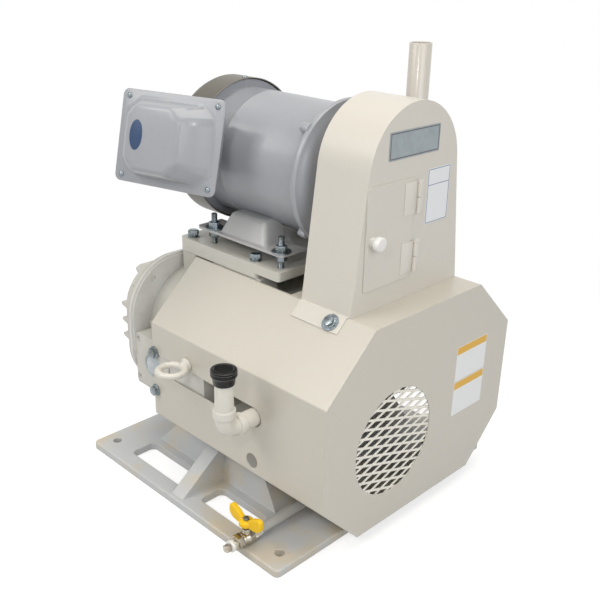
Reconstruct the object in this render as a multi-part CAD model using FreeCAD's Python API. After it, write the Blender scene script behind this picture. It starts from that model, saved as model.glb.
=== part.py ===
import FreeCAD, Part
import math
import os

# Belt-driven twin-rotor vacuum pump with the motor on top, in millimetres.
# +X runs along the shafts to the belt end, -Y is the service side, +Z is up.
# Every piece is drawn about the machine's middle plane (Y = 0), with Z = 0 on the base's underside.
# The finished pieces are then set down with the origin at the centre of the four base holes.

V = FreeCAD.Vector
AXIS_X = V(1, 0, 0)
AXIS_Y = V(0, 1, 0)
AXIS_Z = V(0, 0, 1)

# Clearances
face_gap = 0.2            # between a formed sheet or saddle and what it lies on
fit_gap = 0.02            # between a shaft and what is pressed on it, on the radius
running_gap = 0.05        # between a turning shaft and its bearing, on the radius
hole_gap = 0.5            # between a bolt and its hole, on the radius
moving_gap = 0.4          # between moving pieces that must not touch
sheet = 1.6               # the sheet metal of the cover and the guard

# Base casting
base_length = 567.0
base_front_reach = 323.0
base_rear_reach = 285.0
base_flange = 15.0
base_corner = 10.0
base_edge_round = 3.0
base_hole_radius = 9.0
base_hole_inset_x = 33.5
base_hole_inset_y = 38.5
window_rim = 34.0
window_depth = 57.0
window_corner = 12.0
window_spans = ((-192.0, -25.0), (33.0, 165.0))
pedestal_foot_x = (-195.0, 163.0)
pedestal_foot_y = (-212.0, 212.0)
pedestal_top_x = (-105.0, 92.0)
pedestal_top_y = (-196.0, 196.0)
pedestal_top = 110.0
pedestal_wall = 12.0
rib_span = (-21.0, 12.0)
rib_reach = 95.0
rib_crest = 20.0
rib_margin = 9.0
rib_slope = 0.76

# Pump shafts, rotors and casing
shaft_half_pitch = 80.0
shaft_rise = 170.0
shaft_height = pedestal_top + shaft_rise
rotor_radius = 104.0
rotor_mesh_gap = 0.6
shaft_radius = 22.5
pulley_seat_radius = 19.0
casing_radius = 116.5
casing_half_span = 107.0
casing_start = -196.0
casing_end = 140.0
leg_root = 60.0
foot_inner = 96.0
foot_outer = 158.0
foot_x = (-100.0, 86.0)
foot_bolt_radius = 8.0
foot_bolt_bite = 30.0
foot_bolt_y = 140.0
foot_bolt_x = (-78.0, 64.0)
rail_inner = 98.0
rail_outer = 142.0
rail_spans = ((-185.0, -145.0), (-90.0, 44.0))
rail_rise = 152.0
rail_top = shaft_height + rail_rise
boss_root = casing_half_span + 60.0
land_face = casing_half_span + casing_radius + 2.5
pad_depth = 32.5
pad_face = land_face + pad_depth
pad_x = (-88.0, 16.0)
pad_z = (shaft_height - 78.0, shaft_height + 20.0)

# Bearings and seal
bearing_radius = 42.5
bearing_width = 19.0
bearing_lip = 3.0
lip_radius = 32.0
seal_radius = 32.0
seal_width = 9.0

# Gear end: outlines as half width, half height and corner radius about the shaft level
end_outline = (266.0, 143.0, 112.0)
end_plate = 10.0
end_step = 4.0
end_step_height = 4.0
hub_radius = 54.0
hub_length = 14.0
cover_rim = 10.0
cover_rim_inset = 3.0
dome_inset = 22.0
dome_top_inset = 27.0
dome_depth = 38.0
cover_wall = 7.0
fin_levels = (-104.0, -35.0, 0.0, 35.0, 104.0)
fin_height = 21.0
fin_root = 14.0
fin_tip = 6.0
gear_module = 5.0
gear_teeth = 32
gear_width = 20.0
gear_backlash = 0.5
gear_pressure_angle = 20.0
gear_bolt_count = 14
plug_radius = 7.0
plug_place = (-210.0, shaft_height + 103.0)

# Drive end
drive_plate = 36.0
drive_case = 14.0
drive_case_wall = 7.0

# Pulleys and belts
belt_plane = 214.0
belt_pitch = 19.0
belt_count = 2
belt_side_gap = 0.37
belt_height = 10.0
groove_top_width = 17.2
groove_bottom_width = 9.0
groove_depth = 13.0
belt_proud = 1.5
pulley_edge = 12.5
pump_pulley_radius = 95.0
motor_pulley_radius = 70.0
pulley_rim = 22.0
pulley_web = 14.0
pulley_hub_radius = 34.0
spoke_hole_count = 5

# Motor feet, plates and studs
mounting_plate = 18.0
support_plate = 10.0
plate_top = rail_top + support_plate + mounting_plate
plate_half_width = 144.0
plate_corner = 8.0
plate_start = -190.0
mounting_plate_end = 93.0
support_plate_end = 33.0
plate_bolt_x = (-169.0, 15.0)
plate_bolt_y = 127.0
bolt_washers = 6.0
plain_washer_radius = 11.5
spring_washer_radius = 9.5
stud_radius = 6.0
stud_x = (-113.0, 74.0)
stud_y = 119.0
foot_rise = 30.0
foot_top = plate_top + foot_rise
stud_top = foot_top + 30.0
motor_rise = 131.0         # from the top of the feet to the motor shaft
motor_height = foot_top + motor_rise
foot_sheet = 5.0
foot_flange_x = (-150.0, 90.0)
foot_flange_outer = 134.0
foot_flange_inner = 70.0
hump_foot_x = (-92.0, 37.0)
hump_top_x = (-72.0, 16.0)
hump_outer = 126.0
hump_top_outer = 106.0
hump_top = foot_top + 72.0
washer_radius = 18.5
washer = 3.0
lug_washer_radius = 12.0
lug_washer = 2.0
nut_height = 10.0
stud_washer = 2.5

# Lower sheet-metal cover
cover_start = -135.7
cover_end = 327.3
cover_stand_off = 3.5
cover_half_width = pad_face + cover_stand_off
cover_top = rail_top - sheet
cover_top_half = 149.3
cover_shoulder = shaft_height + 44.4
cover_hip = shaft_height - 155.0
cover_bottom = 28.9
cover_bottom_half = 167.3
cover_bend = 5.0
top_cut_end = 127.0
top_cut_half = 145.0
bottom_cut_end = 215.0
bottom_lip = 7.0
slot_z = (shaft_height - 58.0, shaft_height - 20.0)
belt_opening_y = (-137.5, 58.0)
filler_x = 156.8
filler_z = shaft_height - 39.0
sight_hole = (152.3, shaft_height - 130.7, 14.3)
cover_bolt_x = -130.0
cover_bolt_z = (shaft_height - 101.0, shaft_height - 17.5)
cover_washer_radius = 10.5
cover_washer = 1.5
grille_centre = (-shaft_half_pitch, shaft_height - 87.0)
grille_radius = 103.0

# Expanded-metal grille
mesh_length = 54.0
mesh_height = 18.0
mesh_strand = 4.5
mesh_margin = 5.0
mesh_rim = 5.0

# Belt guard and its inspection door
guard_start = 155.0
guard_end = 269.0
guard_half_width = 147.5
guard_arch_radius = 118.0
guard_arch_height = motor_height + 34.0
tab_drop = 33.0
tab_end = 264.0
guard_bolt_x = 239.3
guard_bolt_drop = 18.0
guard_washer_radius = 16.0
guard_washer = 2.0
motor_hole_radius = 62.0
door_y = (-121.0, 0.0)
door_z = (motor_height - 152.0, motor_height + 27.0)
door_overlap = 9.0
door_sheet = 2.0
hinge_y = 8.0
hinge_barrel = 3.6
hinge_pin = 1.6
hinge_leaf = 1.2
hinge_leaf_reach = (-26.5, 26.5)
hinge_length = 56.0
hinge_lows = (door_z[0] + 9.0, door_z[1] - 8.0 - hinge_length)
knuckle_share = 0.5
knob_place = (-102.0, door_z[0] + 86.0)
knob_radius = 12.5
knob_reach = 20.0

# Motor
motor_frame_radius = 122.0
motor_frame_wall = 11.0
motor_frame_start = -150.0
motor_frame_end = 108.0
drive_ring_radius = 136.0
drive_ring = 13.0
drive_bracket_depth = 42.0
motor_shaft_radius = 19.0
stator_depth = 40.0
motor_core_radius = motor_frame_radius - motor_frame_wall - stator_depth
motor_core_x = (-92.0, 66.0)
air_gap = 0.8
fan_ring_depth = 12.0
fan_hub_depth = 16.0
bracket_mouth = 100.0
cowl_radius = 139.5
cowl_start = -220.0
cowl_end = -148.0
cowl_sheet = 2.0
cowl_slot_count = 16
cowl_slot_reach = (42.0, 108.0)
cowl_slot_half = 4.5
cowl_round = 14.0
fan_radius = 112.0
fan_blades = 6
fan_setback = 26.0
fan_depth = 18.0
fan_disc = 3.0
fan_disc_inset = 14.0
fan_hub_radius = 30.0
motor_bearing_radius = 35.0
motor_bearing_width = 17.0
shaft_end = 240.0

# Terminal box
box_centre = (-137.0, -205.0, motor_height + 46.0)
box_yaw = 13.9
box_tilt = 14.4
lid_half_width = 116.5
lid_half_height = 85.5
lid_corner = 13.0
lid_sheet = 3.0
dome_foot = (100.0, 71.0, 32.0, 25.0)
dome_crown = (55.0, 59.0, 20.0, 21.0)
dome_rise = 52.0
dome_round = 9.0
box_half_width = 104.0
box_half_height = 75.0
box_depth = 52.0
box_wall = 4.0
neck_half_width = 60.0
neck_half_height = 42.0
neck_reach = 80.0
terminal_block_half = (48.0, 22.0)
terminal_block_depth = 16.0
terminal_stud = (3.0, 12.0)
terminal_pitch = (30.0, 11.0)
lid_screw = (101.0, 73.0)

# Oil gauge block on the gear end
block_x = (-196.0, -90.0)
block_z = (shaft_height - 107.5, shaft_height + 3.5)
block_face = pad_face + 1.0
gauge_x = -142.5
gauge_z = shaft_height - 53.5
glass_radius = 21.0
gauge_ring = 4.5
gauge_depth = 6.0
block_screw_x = -187.5
block_screw_z = (shaft_height - 92.0, shaft_height - 8.0)

# Lifting eyes
eye_x = -28.5
eye_z = shaft_height - 7.0
eye_bar = 6.25
eye_ring_radius = 24.5
eye_shank_radius = 8.0
eye_collar_radius = 14.0
eye_collar = 5.0
eye_neck = 6.0
eye_shank = 30.0

# Oil filler
filler_pipe_radius = 16.5
filler_bore = 12.5
filler_seat = 204.0
filler_turn_y = -cover_half_width - 66.0
filler_turn_radius = 22.0
filler_collar_radius = 20.0
filler_collar = 17.0
filler_collar_top = filler_z + 43.0
filler_nipple_top = filler_collar_top + 61.5
filler_nipple_foot = 12.0
cap_radius = 23.0
cap_foot = filler_nipple_top - 13.9
cap_top = cap_foot + 27.8

# Drain line
drain_x = 192.0
drain_z = 30.0
drain_radius = 8.65
drain_bore = 6.3
drain_drop_y = -150.0
drain_turn_radius = 22.0
drain_boss_half = 14.0
drain_pipe_bite = 13.0
drain_boss_z = (shaft_height - 129.0, shaft_height - 93.0)
valve_start = -286.0
valve_length = 50.0
valve_flats = 25.0
valve_ball_radius = 9.0
valve_body_radius = 14.6
valve_port = 6.0
valve_neck_radius = 8.0
valve_neck_top = 50.0
stem_radius = 4.0
handle_foot = 57.0
handle_hub = 11.0
handle_hub_radius = 10.0
wing_reach = 40.0
wing_height = 22.0
wing_sheet = 6.0
plug_length = 16.0
plug_square = 12.0
plug_bush = 9.0
plug_hex = 22.0

# Pipes
exhaust_x = 107.0
exhaust_y = 205.0
exhaust_radius = 21.35
exhaust_wall = 3.2
exhaust_rise = 215.0
exhaust_top = motor_height + exhaust_rise
exhaust_boss_radius = 25.0
exhaust_boss_top = shaft_height + 105.0
exhaust_socket = 15.0
exhaust_passage = 17.0
suction_x = 62.0
suction_z = shaft_height
suction_boss_radius = 52.0
suction_flange_radius = 60.0
suction_flange = 16.0
suction_bore = 24.0
suction_socket = 40.0
suction_passage = 22.0
suction_bolt_circle = 46.0

# Fasteners: bolt radius, width across flats, head height
M8 = (4.0, 13.0, 5.5)
M10 = (5.0, 17.0, 7.0)
M12 = (6.0, 19.0, 8.0)


def box(x, y, z):
    """A block between two limits on each axis."""
    return Part.makeBox(x[1] - x[0], y[1] - y[0], z[1] - z[0], V(x[0], y[0], z[0]))


def rod(radius, start, end):
    """A round bar between two points."""
    along = end - start
    return Part.makeCylinder(radius, along.Length, start, along)


def tube(radius, bore, start, end):
    """A round bar with a hole through it."""
    return rod(radius, start, end).cut(rod(bore, start, end))


def closed_face(points):
    return Part.Face(Part.makePolygon(points + [points[0]]))


def prism(points, along):
    """A straight-sided outline drawn out along a vector."""
    return closed_face(points).extrude(along)


def across(outline, x):
    """Points given as (y, z), on the plane at x."""
    return [V(x, y, z) for y, z in outline]


def rounded_wire(points, radius):
    """A closed outline with every corner turned into a tangent arc."""
    edges = []
    ends = []
    count = len(points)
    for i in range(count):
        corner = points[i]
        before = (points[i - 1] - corner).normalize()
        after = (points[(i + 1) % count] - corner).normalize()
        half = before.getAngle(after) / 2.0
        setback = radius / math.tan(half)
        middle = (before + after).normalize()
        centre = corner + middle * (radius / math.sin(half))
        start = corner + before * setback
        end = corner + after * setback
        edges.append(Part.Arc(start, centre - middle * radius, end).toShape())
        ends.append((start, end))
    for i in range(count):
        edges.append(Part.makeLine(ends[i - 1][1], ends[i][0]))
    return Part.Wire(Part.__sortEdges__(edges))


def rounded_plate(x, y, z, radius):
    """A flat plate with rounded corners."""
    corners = [V(x[0], y[0], z[0]), V(x[1], y[0], z[0]), V(x[1], y[1], z[0]), V(x[0], y[1], z[0])]
    return Part.Face(rounded_wire(corners, radius)).extrude(V(0, 0, z[1] - z[0]))


def stadium_wire(radius, half_span, x):
    """Two half circles joined by straight lines, about the pump's shaft level."""
    top = shaft_height + radius
    low = shaft_height - radius
    right = Part.Arc(V(x, half_span, top), V(x, half_span + radius, shaft_height), V(x, half_span, low))
    left = Part.Arc(V(x, -half_span, low), V(x, -half_span - radius, shaft_height), V(x, -half_span, top))
    lines = [Part.makeLine(V(x, -half_span, top), V(x, half_span, top)),
             Part.makeLine(V(x, half_span, low), V(x, -half_span, low))]
    return Part.Wire([lines[0], right.toShape(), lines[1], left.toShape()])


def stadium(radius, half_span, start, end):
    return Part.Face(stadium_wire(radius, half_span, start)).extrude(V(end - start, 0, 0))


def end_wire(inset, x):
    """The gear end's rounded outline, drawn in by an inset."""
    width, height, corner = [size - inset for size in end_outline]
    low = shaft_height - height
    high = shaft_height + height
    return rounded_wire(across([(-width, low), (width, low), (width, high), (-width, high)], x), corner)


def end_slab(inset, start, end):
    return Part.Face(end_wire(inset, start)).extrude(V(end - start, 0, 0))


def turned(profile, centre_y, centre_z):
    """A profile of (x, radius) points spun about a line along X."""
    points = [V(x, centre_y, centre_z + radius) for x, radius in profile]
    return closed_face(points).revolve(V(0, centre_y, centre_z), AXIS_X, 360)


def hexagon(flats, height, place, axis):
    """A hexagonal head or nut standing on a point."""
    axis = V(axis).normalize()
    side = V(1, 0, 0) if abs(axis.x) < 0.5 else V(0, 1, 0)
    other = axis.cross(side).normalize()
    side = other.cross(axis)
    corner = flats / math.sqrt(3.0)
    points = []
    for i in range(6):
        angle = math.radians(60 * i)
        points.append(place + side * (corner * math.cos(angle)) + other * (corner * math.sin(angle)))
    return prism(points, axis * height)


def bolt(size, place, axis, length):
    """A hexagon bolt whose head sits on a point, with its shank running back along the axis."""
    radius, flats, head = size
    axis = V(axis).normalize()
    shank = rod(radius, place, place - axis * length)
    return hexagon(flats, head, place, axis).fuse(shank).removeSplitter()


def ring_washer(radius, hole, thickness, place, axis):
    axis = V(axis).normalize()
    return tube(radius, hole, place, place + axis * thickness)


def mirrored(shape):
    """The same piece on the rear side of the machine."""
    return shape.mirror(V(0, 0, 0), AXIS_Y)


def both_sides(shape):
    return [shape, mirrored(shape)]


def save(name, solids):
    """Set a node's solids down on the base's bolt centre and write them."""
    solids = solids if isinstance(solids, list) else [solids]
    node = solids[0] if len(solids) == 1 else Part.makeCompound(solids)
    node = node.copy()
    node.translate(V(0, machine_plane_y, 0))
    node.exportStep("parts/" + name + ".step")


# Values that follow from the sizes above
base_hole_x = base_length / 2 - base_hole_inset_x
base_hole_front = -(base_front_reach - base_hole_inset_y)
base_hole_rear = base_rear_reach - base_hole_inset_y
machine_plane_y = -(base_hole_front + base_hole_rear) / 2
end_plate_start = casing_start - end_plate
cover_rim_start = end_plate_start - cover_rim
drive_case_start = casing_end + drive_plate
drive_case_end = drive_case_start + drive_case
pulley_width = belt_pitch * (belt_count - 1) + 2 * pulley_edge
pulley_start = belt_plane - pulley_width / 2
pulley_end = belt_plane + pulley_width / 2
gear_start = cover_rim_start - dome_depth + cover_wall + 4
gear_pitch_radius = gear_module * gear_teeth / 2
mounting_plate_foot = plate_top - mounting_plate
support_plate_foot = mounting_plate_foot - support_plate
foot_bottom = foot_top - foot_sheet
cover_inner = cover_half_width - sheet
front_wall = (-cover_half_width - 1, -cover_inner + 1)
bevel = V(0, cover_half_width - cover_top_half, cover_shoulder - cover_top).normalize()
bevel_out = V(0, -bevel.z, bevel.y)


# Base casting

def base_window(span, y):
    return rounded_plate(span, y, (-1, base_flange + 1), window_corner)


def pedestal(inset, foot, top):
    """The tapered box that carries the pump, or its hollow when inset by the wall."""
    wires = []
    for x, y, z in ((pedestal_foot_x, pedestal_foot_y, foot), (pedestal_top_x, pedestal_top_y, top)):
        low = V(x[0] + inset, y[0] + inset, z)
        high = V(x[1] - inset, y[1] - inset, z)
        wires.append(Part.makePolygon([low, V(high.x, low.y, z), high, V(low.x, high.y, z), low]))
    return Part.makeLoft(wires, True)


def base_rib():
    """The gusset from the front rim of the base up to the pedestal wall."""
    foot = -base_front_reach + rib_margin
    rise = pedestal_top - base_flange
    crest = foot + rise / rib_slope
    outline = [V(rib_span[0], foot, base_flange), V(rib_span[0], crest, pedestal_top),
               V(rib_span[0], crest + rib_crest, pedestal_top), V(rib_span[0], -rib_reach, base_flange)]
    return prism(outline, V(rib_span[1] - rib_span[0], 0, 0))


def base_casting():
    half = base_length / 2
    flange = rounded_plate((-half, half), (-base_front_reach, base_rear_reach), (0, base_flange), base_corner)
    rims = [edge for edge in flange.Edges if edge.BoundBox.ZMin > base_flange - 0.01]
    flange = flange.makeFillet(base_edge_round, rims)
    body = flange.fuse([pedestal(0, base_flange - 0.5, pedestal_top), base_rib()])
    front = (-base_front_reach + window_rim, -base_front_reach + window_rim + window_depth)
    holes = [base_window(span, front) for span in window_spans]
    holes.append(pedestal(pedestal_wall, -1, pedestal_top - pedestal_wall))
    for x in (-base_hole_x, base_hole_x):
        for y in (base_hole_front, base_hole_rear):
            holes.append(rod(base_hole_radius, V(x, y, -1), V(x, y, base_flange + 1)))
    for x in foot_bolt_x:
        for y in (-foot_bolt_y, foot_bolt_y):
            holes.append(rod(foot_bolt_radius + hole_gap, V(x, y, 50), V(x, y, pedestal_top + 1)))
    return body.cut(holes).removeSplitter()


# Pump casing and its ends

def rotor_bores(start, end):
    radius = rotor_radius + moving_gap / 2
    bores = [rod(radius, V(start, y, shaft_height), V(end, y, shaft_height))
             for y in (-shaft_half_pitch, shaft_half_pitch)]
    return bores[0].fuse(bores[1])


def pump_casing():
    body = stadium(casing_radius, casing_half_span, casing_start, casing_end)
    additions = []
    for side in (-1, 1):
        feet_y = sorted((side * foot_inner, side * foot_outer))
        additions.append(box(foot_x, feet_y, (pedestal_top, shaft_height - leg_root)))
        rail_y = sorted((side * rail_inner, side * rail_outer))
        for span in rail_spans:
            additions.append(box(span, rail_y, (shaft_height + leg_root, rail_top)))
        land_y = sorted((side * boss_root, side * land_face))
        additions.append(box((casing_start, pad_x[1]), land_y, (block_z[0], pad_z[1])))
        pad_y = sorted((side * boss_root, side * pad_face))
        additions.append(box(pad_x, pad_y, pad_z))
    boss_foot = V(exhaust_x, exhaust_y, shaft_height)
    additions.append(rod(exhaust_boss_radius, boss_foot, V(exhaust_x, exhaust_y, exhaust_boss_top)))
    suction_foot = V(suction_x, boss_root, suction_z)
    additions.append(rod(suction_boss_radius, suction_foot, V(suction_x, pad_face, suction_z)))
    body = body.fuse(additions)
    cuts = [rotor_bores(casing_start - 1, casing_end + 1)]
    pipe_foot = exhaust_boss_top - exhaust_socket
    cuts.append(rod(exhaust_radius + fit_gap, V(exhaust_x, exhaust_y, pipe_foot),
                    V(exhaust_x, exhaust_y, exhaust_boss_top + 1)))
    passage = exhaust_passage
    cuts.append(rod(passage, V(exhaust_x, exhaust_y, shaft_height), V(exhaust_x, exhaust_y, pipe_foot + 1)))
    cuts.append(rod(passage, V(exhaust_x, exhaust_y, shaft_height),
                    V(exhaust_x, shaft_half_pitch, shaft_height)))
    cuts.append(rod(suction_passage, V(suction_x, shaft_half_pitch, suction_z),
                    V(suction_x, pad_face, suction_z)))
    cuts.append(rod(suction_bore, V(suction_x, pad_face - suction_socket, suction_z),
                    V(suction_x, pad_face + 1, suction_z)))
    for side in (-1, 1):
        for x in foot_bolt_x:
            cuts.append(rod(foot_bolt_radius + hole_gap, V(x, side * foot_bolt_y, pedestal_top - 1),
                            V(x, side * foot_bolt_y, pedestal_top + foot_bolt_bite + 4)))
        for x in plate_bolt_x:
            cuts.append(rod(M12[0] + hole_gap, V(x, side * plate_bolt_y, rail_top - 26),
                            V(x, side * plate_bolt_y, rail_top + 1)))
        cuts.append(rod(eye_shank_radius + fit_gap, V(eye_x, side * (pad_face + 1), eye_z),
                        V(eye_x, side * (pad_face - eye_shank), eye_z)))
    return body.cut(cuts).removeSplitter()


def bearing_seats(start, end, lip_start, lip_end):
    """The bearing pockets of both shafts, with a smaller hole through the locating lip."""
    cuts = []
    for y in (-shaft_half_pitch, shaft_half_pitch):
        cuts.append(rod(bearing_radius + fit_gap, V(start, y, shaft_height), V(end, y, shaft_height)))
        cuts.append(rod(lip_radius, V(lip_start, y, shaft_height), V(lip_end, y, shaft_height)))
    return cuts


def gear_end_plate():
    """The gear-side bearing plate: a stepped flange with a bearing hub for each shaft."""
    flange = end_slab(0, end_plate_start, casing_start - end_step)
    step = end_slab(end_step_height, casing_start - end_step, casing_start)
    hub_start = end_plate_start - hub_length
    hubs = [rod(hub_radius, V(hub_start, y, shaft_height), V(casing_start, y, shaft_height))
            for y in (-shaft_half_pitch, shaft_half_pitch)]
    cuts = bearing_seats(end_plate_start - hub_length - 1, casing_start - bearing_lip,
                         casing_start - bearing_lip - 1, casing_start + 1)
    plug_y, plug_z = plug_place
    cuts.append(rod(plug_radius, V(casing_start - 4, plug_y, plug_z), V(casing_start + 1, plug_y, plug_z)))
    return flange.fuse([step] + hubs).cut(cuts).removeSplitter()


def gear_cover_fins():
    """Level cooling fins across the dome, thin at their tips, ending on the dome's own outline."""
    root_x = cover_rim_start - dome_depth + 3
    tip_x = cover_rim_start - dome_depth - fin_height
    width = end_outline[0]
    envelope = Part.makeLoft([end_wire(dome_top_inset, root_x), end_wire(dome_top_inset + 3, tip_x)], True)
    slabs = []
    for level in fin_levels:
        z = shaft_height + level
        outline = [V(root_x, -width, z - fin_root / 2), V(tip_x, -width, z - fin_tip / 2),
                   V(tip_x, -width, z + fin_tip / 2), V(root_x, -width, z + fin_root / 2)]
        slab = prism(outline, V(0, 2 * width, 0))
        tips = [edge for edge in slab.Edges if edge.BoundBox.XMax < tip_x + 0.01 and edge.Length > width]
        slabs.append(slab.makeFillet(fin_tip * 0.42, tips).common(envelope))
    return slabs


def gear_cover():
    """The oil-tight cover of the timing gears: a rim, a domed body and the fins."""
    rim = end_slab(cover_rim_inset, cover_rim_start, end_plate_start)
    dome = Part.makeLoft([end_wire(dome_inset, cover_rim_start + 1),
                          end_wire(dome_top_inset, cover_rim_start - dome_depth)], True)
    roof = cover_rim_start - dome_depth + cover_wall
    cavity = end_slab(dome_top_inset + cover_wall, roof, end_plate_start + 1)
    return rim.fuse([dome] + gear_cover_fins()).cut(cavity).removeSplitter()


def gear_cover_bolts():
    """Hexagon heads evenly round the rim of the gear cover."""
    line = end_wire((cover_rim_inset + dome_inset) / 2, cover_rim_start)
    return [hexagon(M8[1], M8[2], place, -AXIS_X) for place in line.discretize(gear_bolt_count + 1)[:-1]]


def case_bolt_places(radius, half_span, count):
    """Bolt centres spread along both half circles of a stadium flange."""
    places = []
    for i in range(count + 1):
        angle = math.radians(-90 + 180.0 * i / count)
        places.append((half_span + radius * math.cos(angle), shaft_height + radius * math.sin(angle)))
        places.append((-half_span - radius * math.cos(angle), shaft_height + radius * math.sin(angle)))
    return places


def drive_end_plate():
    """The belt-side bearing plate, with the boss that the oil filler screws into."""
    plate_body = stadium(casing_radius, casing_half_span, casing_end, drive_case_start)
    boss = rod(filler_collar_radius, V(filler_x, -boss_root, filler_z),
               V(filler_x, -land_face, filler_z))
    slab = box((casing_end, drive_case_start), (-cover_half_width, 0), (0, cover_top))
    cuts = bearing_seats(casing_end + bearing_lip, drive_case_start + 1, casing_end - 1, drive_case_start)
    cuts.append(rod(filler_pipe_radius + fit_gap, V(filler_x, -land_face - 1, filler_z),
                    V(filler_x, -filler_seat, filler_z)))
    return plate_body.fuse(boss.common(slab)).cut(cuts).removeSplitter()


def drive_end_case():
    """The oil case over the belt-side bearings, with the boss for the drain pipe."""
    body = stadium(casing_radius, casing_half_span, drive_case_start, drive_case_end)
    boss_y = (drain_drop_y - drain_boss_half, drain_drop_y + drain_boss_half)
    drain_boss = box((drive_case_start + 2, drain_x + drain_boss_half), boss_y, drain_boss_z)
    body = body.fuse(drain_boss)
    cavity = stadium(casing_radius - drive_case_wall, casing_half_span,
                     drive_case_start - 1, drive_case_end - drive_case_wall)
    cuts = [cavity]
    cuts.append(rod(seal_radius + fit_gap, V(drive_case_start, -shaft_half_pitch, shaft_height),
                    V(drive_case_end + 1, -shaft_half_pitch, shaft_height)))
    seal_boss = tube(seal_radius + 8, seal_radius + fit_gap,
                     V(drive_case_end - drive_case_wall - 4, -shaft_half_pitch, shaft_height),
                     V(drive_case_end, -shaft_half_pitch, shaft_height))
    cuts.append(rod(drain_radius + fit_gap, V(drain_x, drain_drop_y, drain_boss_z[0] - 1),
                    V(drain_x, drain_drop_y, drain_boss_z[0] + 14)))
    return body.cut(cuts).fuse(seal_boss).removeSplitter()


def drive_end_bolts():
    heads = []
    for y, z in case_bolt_places(casing_radius - 9, casing_half_span, 4):
        heads.append(hexagon(M8[1], M8[2], V(drive_case_end, y, z), AXIS_X))
    return heads


def foot_bolts():
    """Hexagon bolts up through the pedestal deck into the casing feet."""
    bolts = []
    for x in foot_bolt_x:
        for y in (-foot_bolt_y, foot_bolt_y):
            seat = V(x, y, pedestal_top - pedestal_wall)
            bolts.append(bolt(M12, seat, -AXIS_Z, pedestal_wall + foot_bolt_bite))
    return bolts


def pump_bearings():
    rings = []
    for start in (casing_start - bearing_lip - bearing_width, casing_end + bearing_lip):
        for y in (-shaft_half_pitch, shaft_half_pitch):
            rings += [tube(bearing_radius, shaft_radius + running_gap,
                           V(start, y, shaft_height), V(start + bearing_width, y, shaft_height))]
    return rings


def shaft_seal():
    start = drive_case_end - seal_width
    return tube(seal_radius, pulley_seat_radius + running_gap,
                V(start, -shaft_half_pitch, shaft_height), V(drive_case_end, -shaft_half_pitch, shaft_height))


# Rotors and timing gears

def rotor_face(x, y, lobe_angle):
    """A two-lobe rotor's section: round lobes, and waists that the other rotor's lobes roll through."""
    pitch = shaft_half_pitch
    lobe_centre = (rotor_radius ** 2 - pitch ** 2) / (2 * (rotor_radius - pitch * math.cos(math.pi / 4)))
    lobe_radius = rotor_radius - lobe_centre
    shrink = rotor_mesh_gap / 2

    def place(u, v):
        angle = math.radians(lobe_angle)
        return V(x, y + u * math.cos(angle) - v * math.sin(angle),
                 shaft_height + u * math.sin(angle) + v * math.cos(angle))

    def waist_point(turn):
        centre = (2 * pitch - lobe_centre * math.cos(turn), lobe_centre * math.sin(turn))
        rolled = (centre[0] * math.cos(turn) + centre[1] * math.sin(turn),
                  -centre[0] * math.sin(turn) + centre[1] * math.cos(turn))
        rolling_point = (pitch * math.cos(turn), -pitch * math.sin(turn))
        run = (rolling_point[0] - rolled[0], rolling_point[1] - rolled[1])
        scale = (lobe_radius + shrink) / math.hypot(run[0], run[1])
        return rolled[0] + run[0] * scale, rolled[1] + run[1] * scale

    steps = 8
    turns = [math.pi / 4 * (1 - 2.0 * i / steps) for i in range(steps + 1)]
    waist = [waist_point(turn) for turn in turns]
    upper = [place(-v, u) for u, v in waist]
    lower = [place(v, -u) for u, v in waist]
    tip = lobe_centre + lobe_radius - shrink
    edges = [Part.Arc(upper[-1], place(-tip, 0), lower[0]).toShape(),
             Part.Arc(lower[-1], place(tip, 0), upper[0]).toShape()]
    for points in (upper, lower):
        curve = Part.BSplineCurve()
        curve.interpolate(points)
        edges.append(curve.toShape())
    return Part.Face(Part.Wire(Part.__sortEdges__(edges)))


def rotor(y, lobe_angle, shaft_stop):
    """A rotor cast on its shaft, which steps down to the pulley seat on the driving side."""
    start = casing_start + moving_gap
    end = casing_end - moving_gap
    lobes = rotor_face(start, y, lobe_angle).extrude(V(end - start, 0, 0))
    shaft_tail = gear_start - 4
    journal_end = min(shaft_stop, drive_case_start + 2)
    shaft = rod(shaft_radius, V(shaft_tail, y, shaft_height), V(journal_end, y, shaft_height))
    body = lobes.fuse(shaft)
    if shaft_stop > drive_case_end:
        seat = rod(pulley_seat_radius, V(casing_end, y, shaft_height), V(shaft_stop, y, shaft_height))
        body = body.fuse(seat)
    return body.removeSplitter()


def timing_gear(y, first_tooth):
    """A spur gear with involute flanks, thinned a little for backlash."""
    base_radius = gear_pitch_radius * math.cos(math.radians(gear_pressure_angle))
    tip_radius = gear_pitch_radius + gear_module
    root_radius = gear_pitch_radius - 1.25 * gear_module
    half_tooth = (math.pi * gear_module / 2 - gear_backlash) / (2 * gear_pitch_radius)
    pressure = math.radians(gear_pressure_angle)

    def half_angle(radius):
        flank = math.acos(base_radius / radius)
        return half_tooth + (math.tan(pressure) - pressure) - (math.tan(flank) - flank)

    steps = ((root_radius, half_angle(base_radius)), (base_radius, half_angle(base_radius)),
             (gear_pitch_radius, half_angle(gear_pitch_radius)), (tip_radius, half_angle(tip_radius)))
    points = []
    for tooth in range(gear_teeth):
        centre = math.radians(first_tooth) + 2 * math.pi * tooth / gear_teeth
        for side in (-1, 1):
            for radius, spread in (steps if side < 0 else steps[::-1]):
                angle = centre + side * spread
                points.append(V(gear_start, y + radius * math.cos(angle),
                                shaft_height + radius * math.sin(angle)))
    blank = prism(points, V(gear_width, 0, 0))
    bore = rod(shaft_radius + fit_gap, V(gear_start - 1, y, shaft_height),
               V(gear_start + gear_width + 1, y, shaft_height))
    return blank.cut(bore)


# Pulleys and belts

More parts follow.
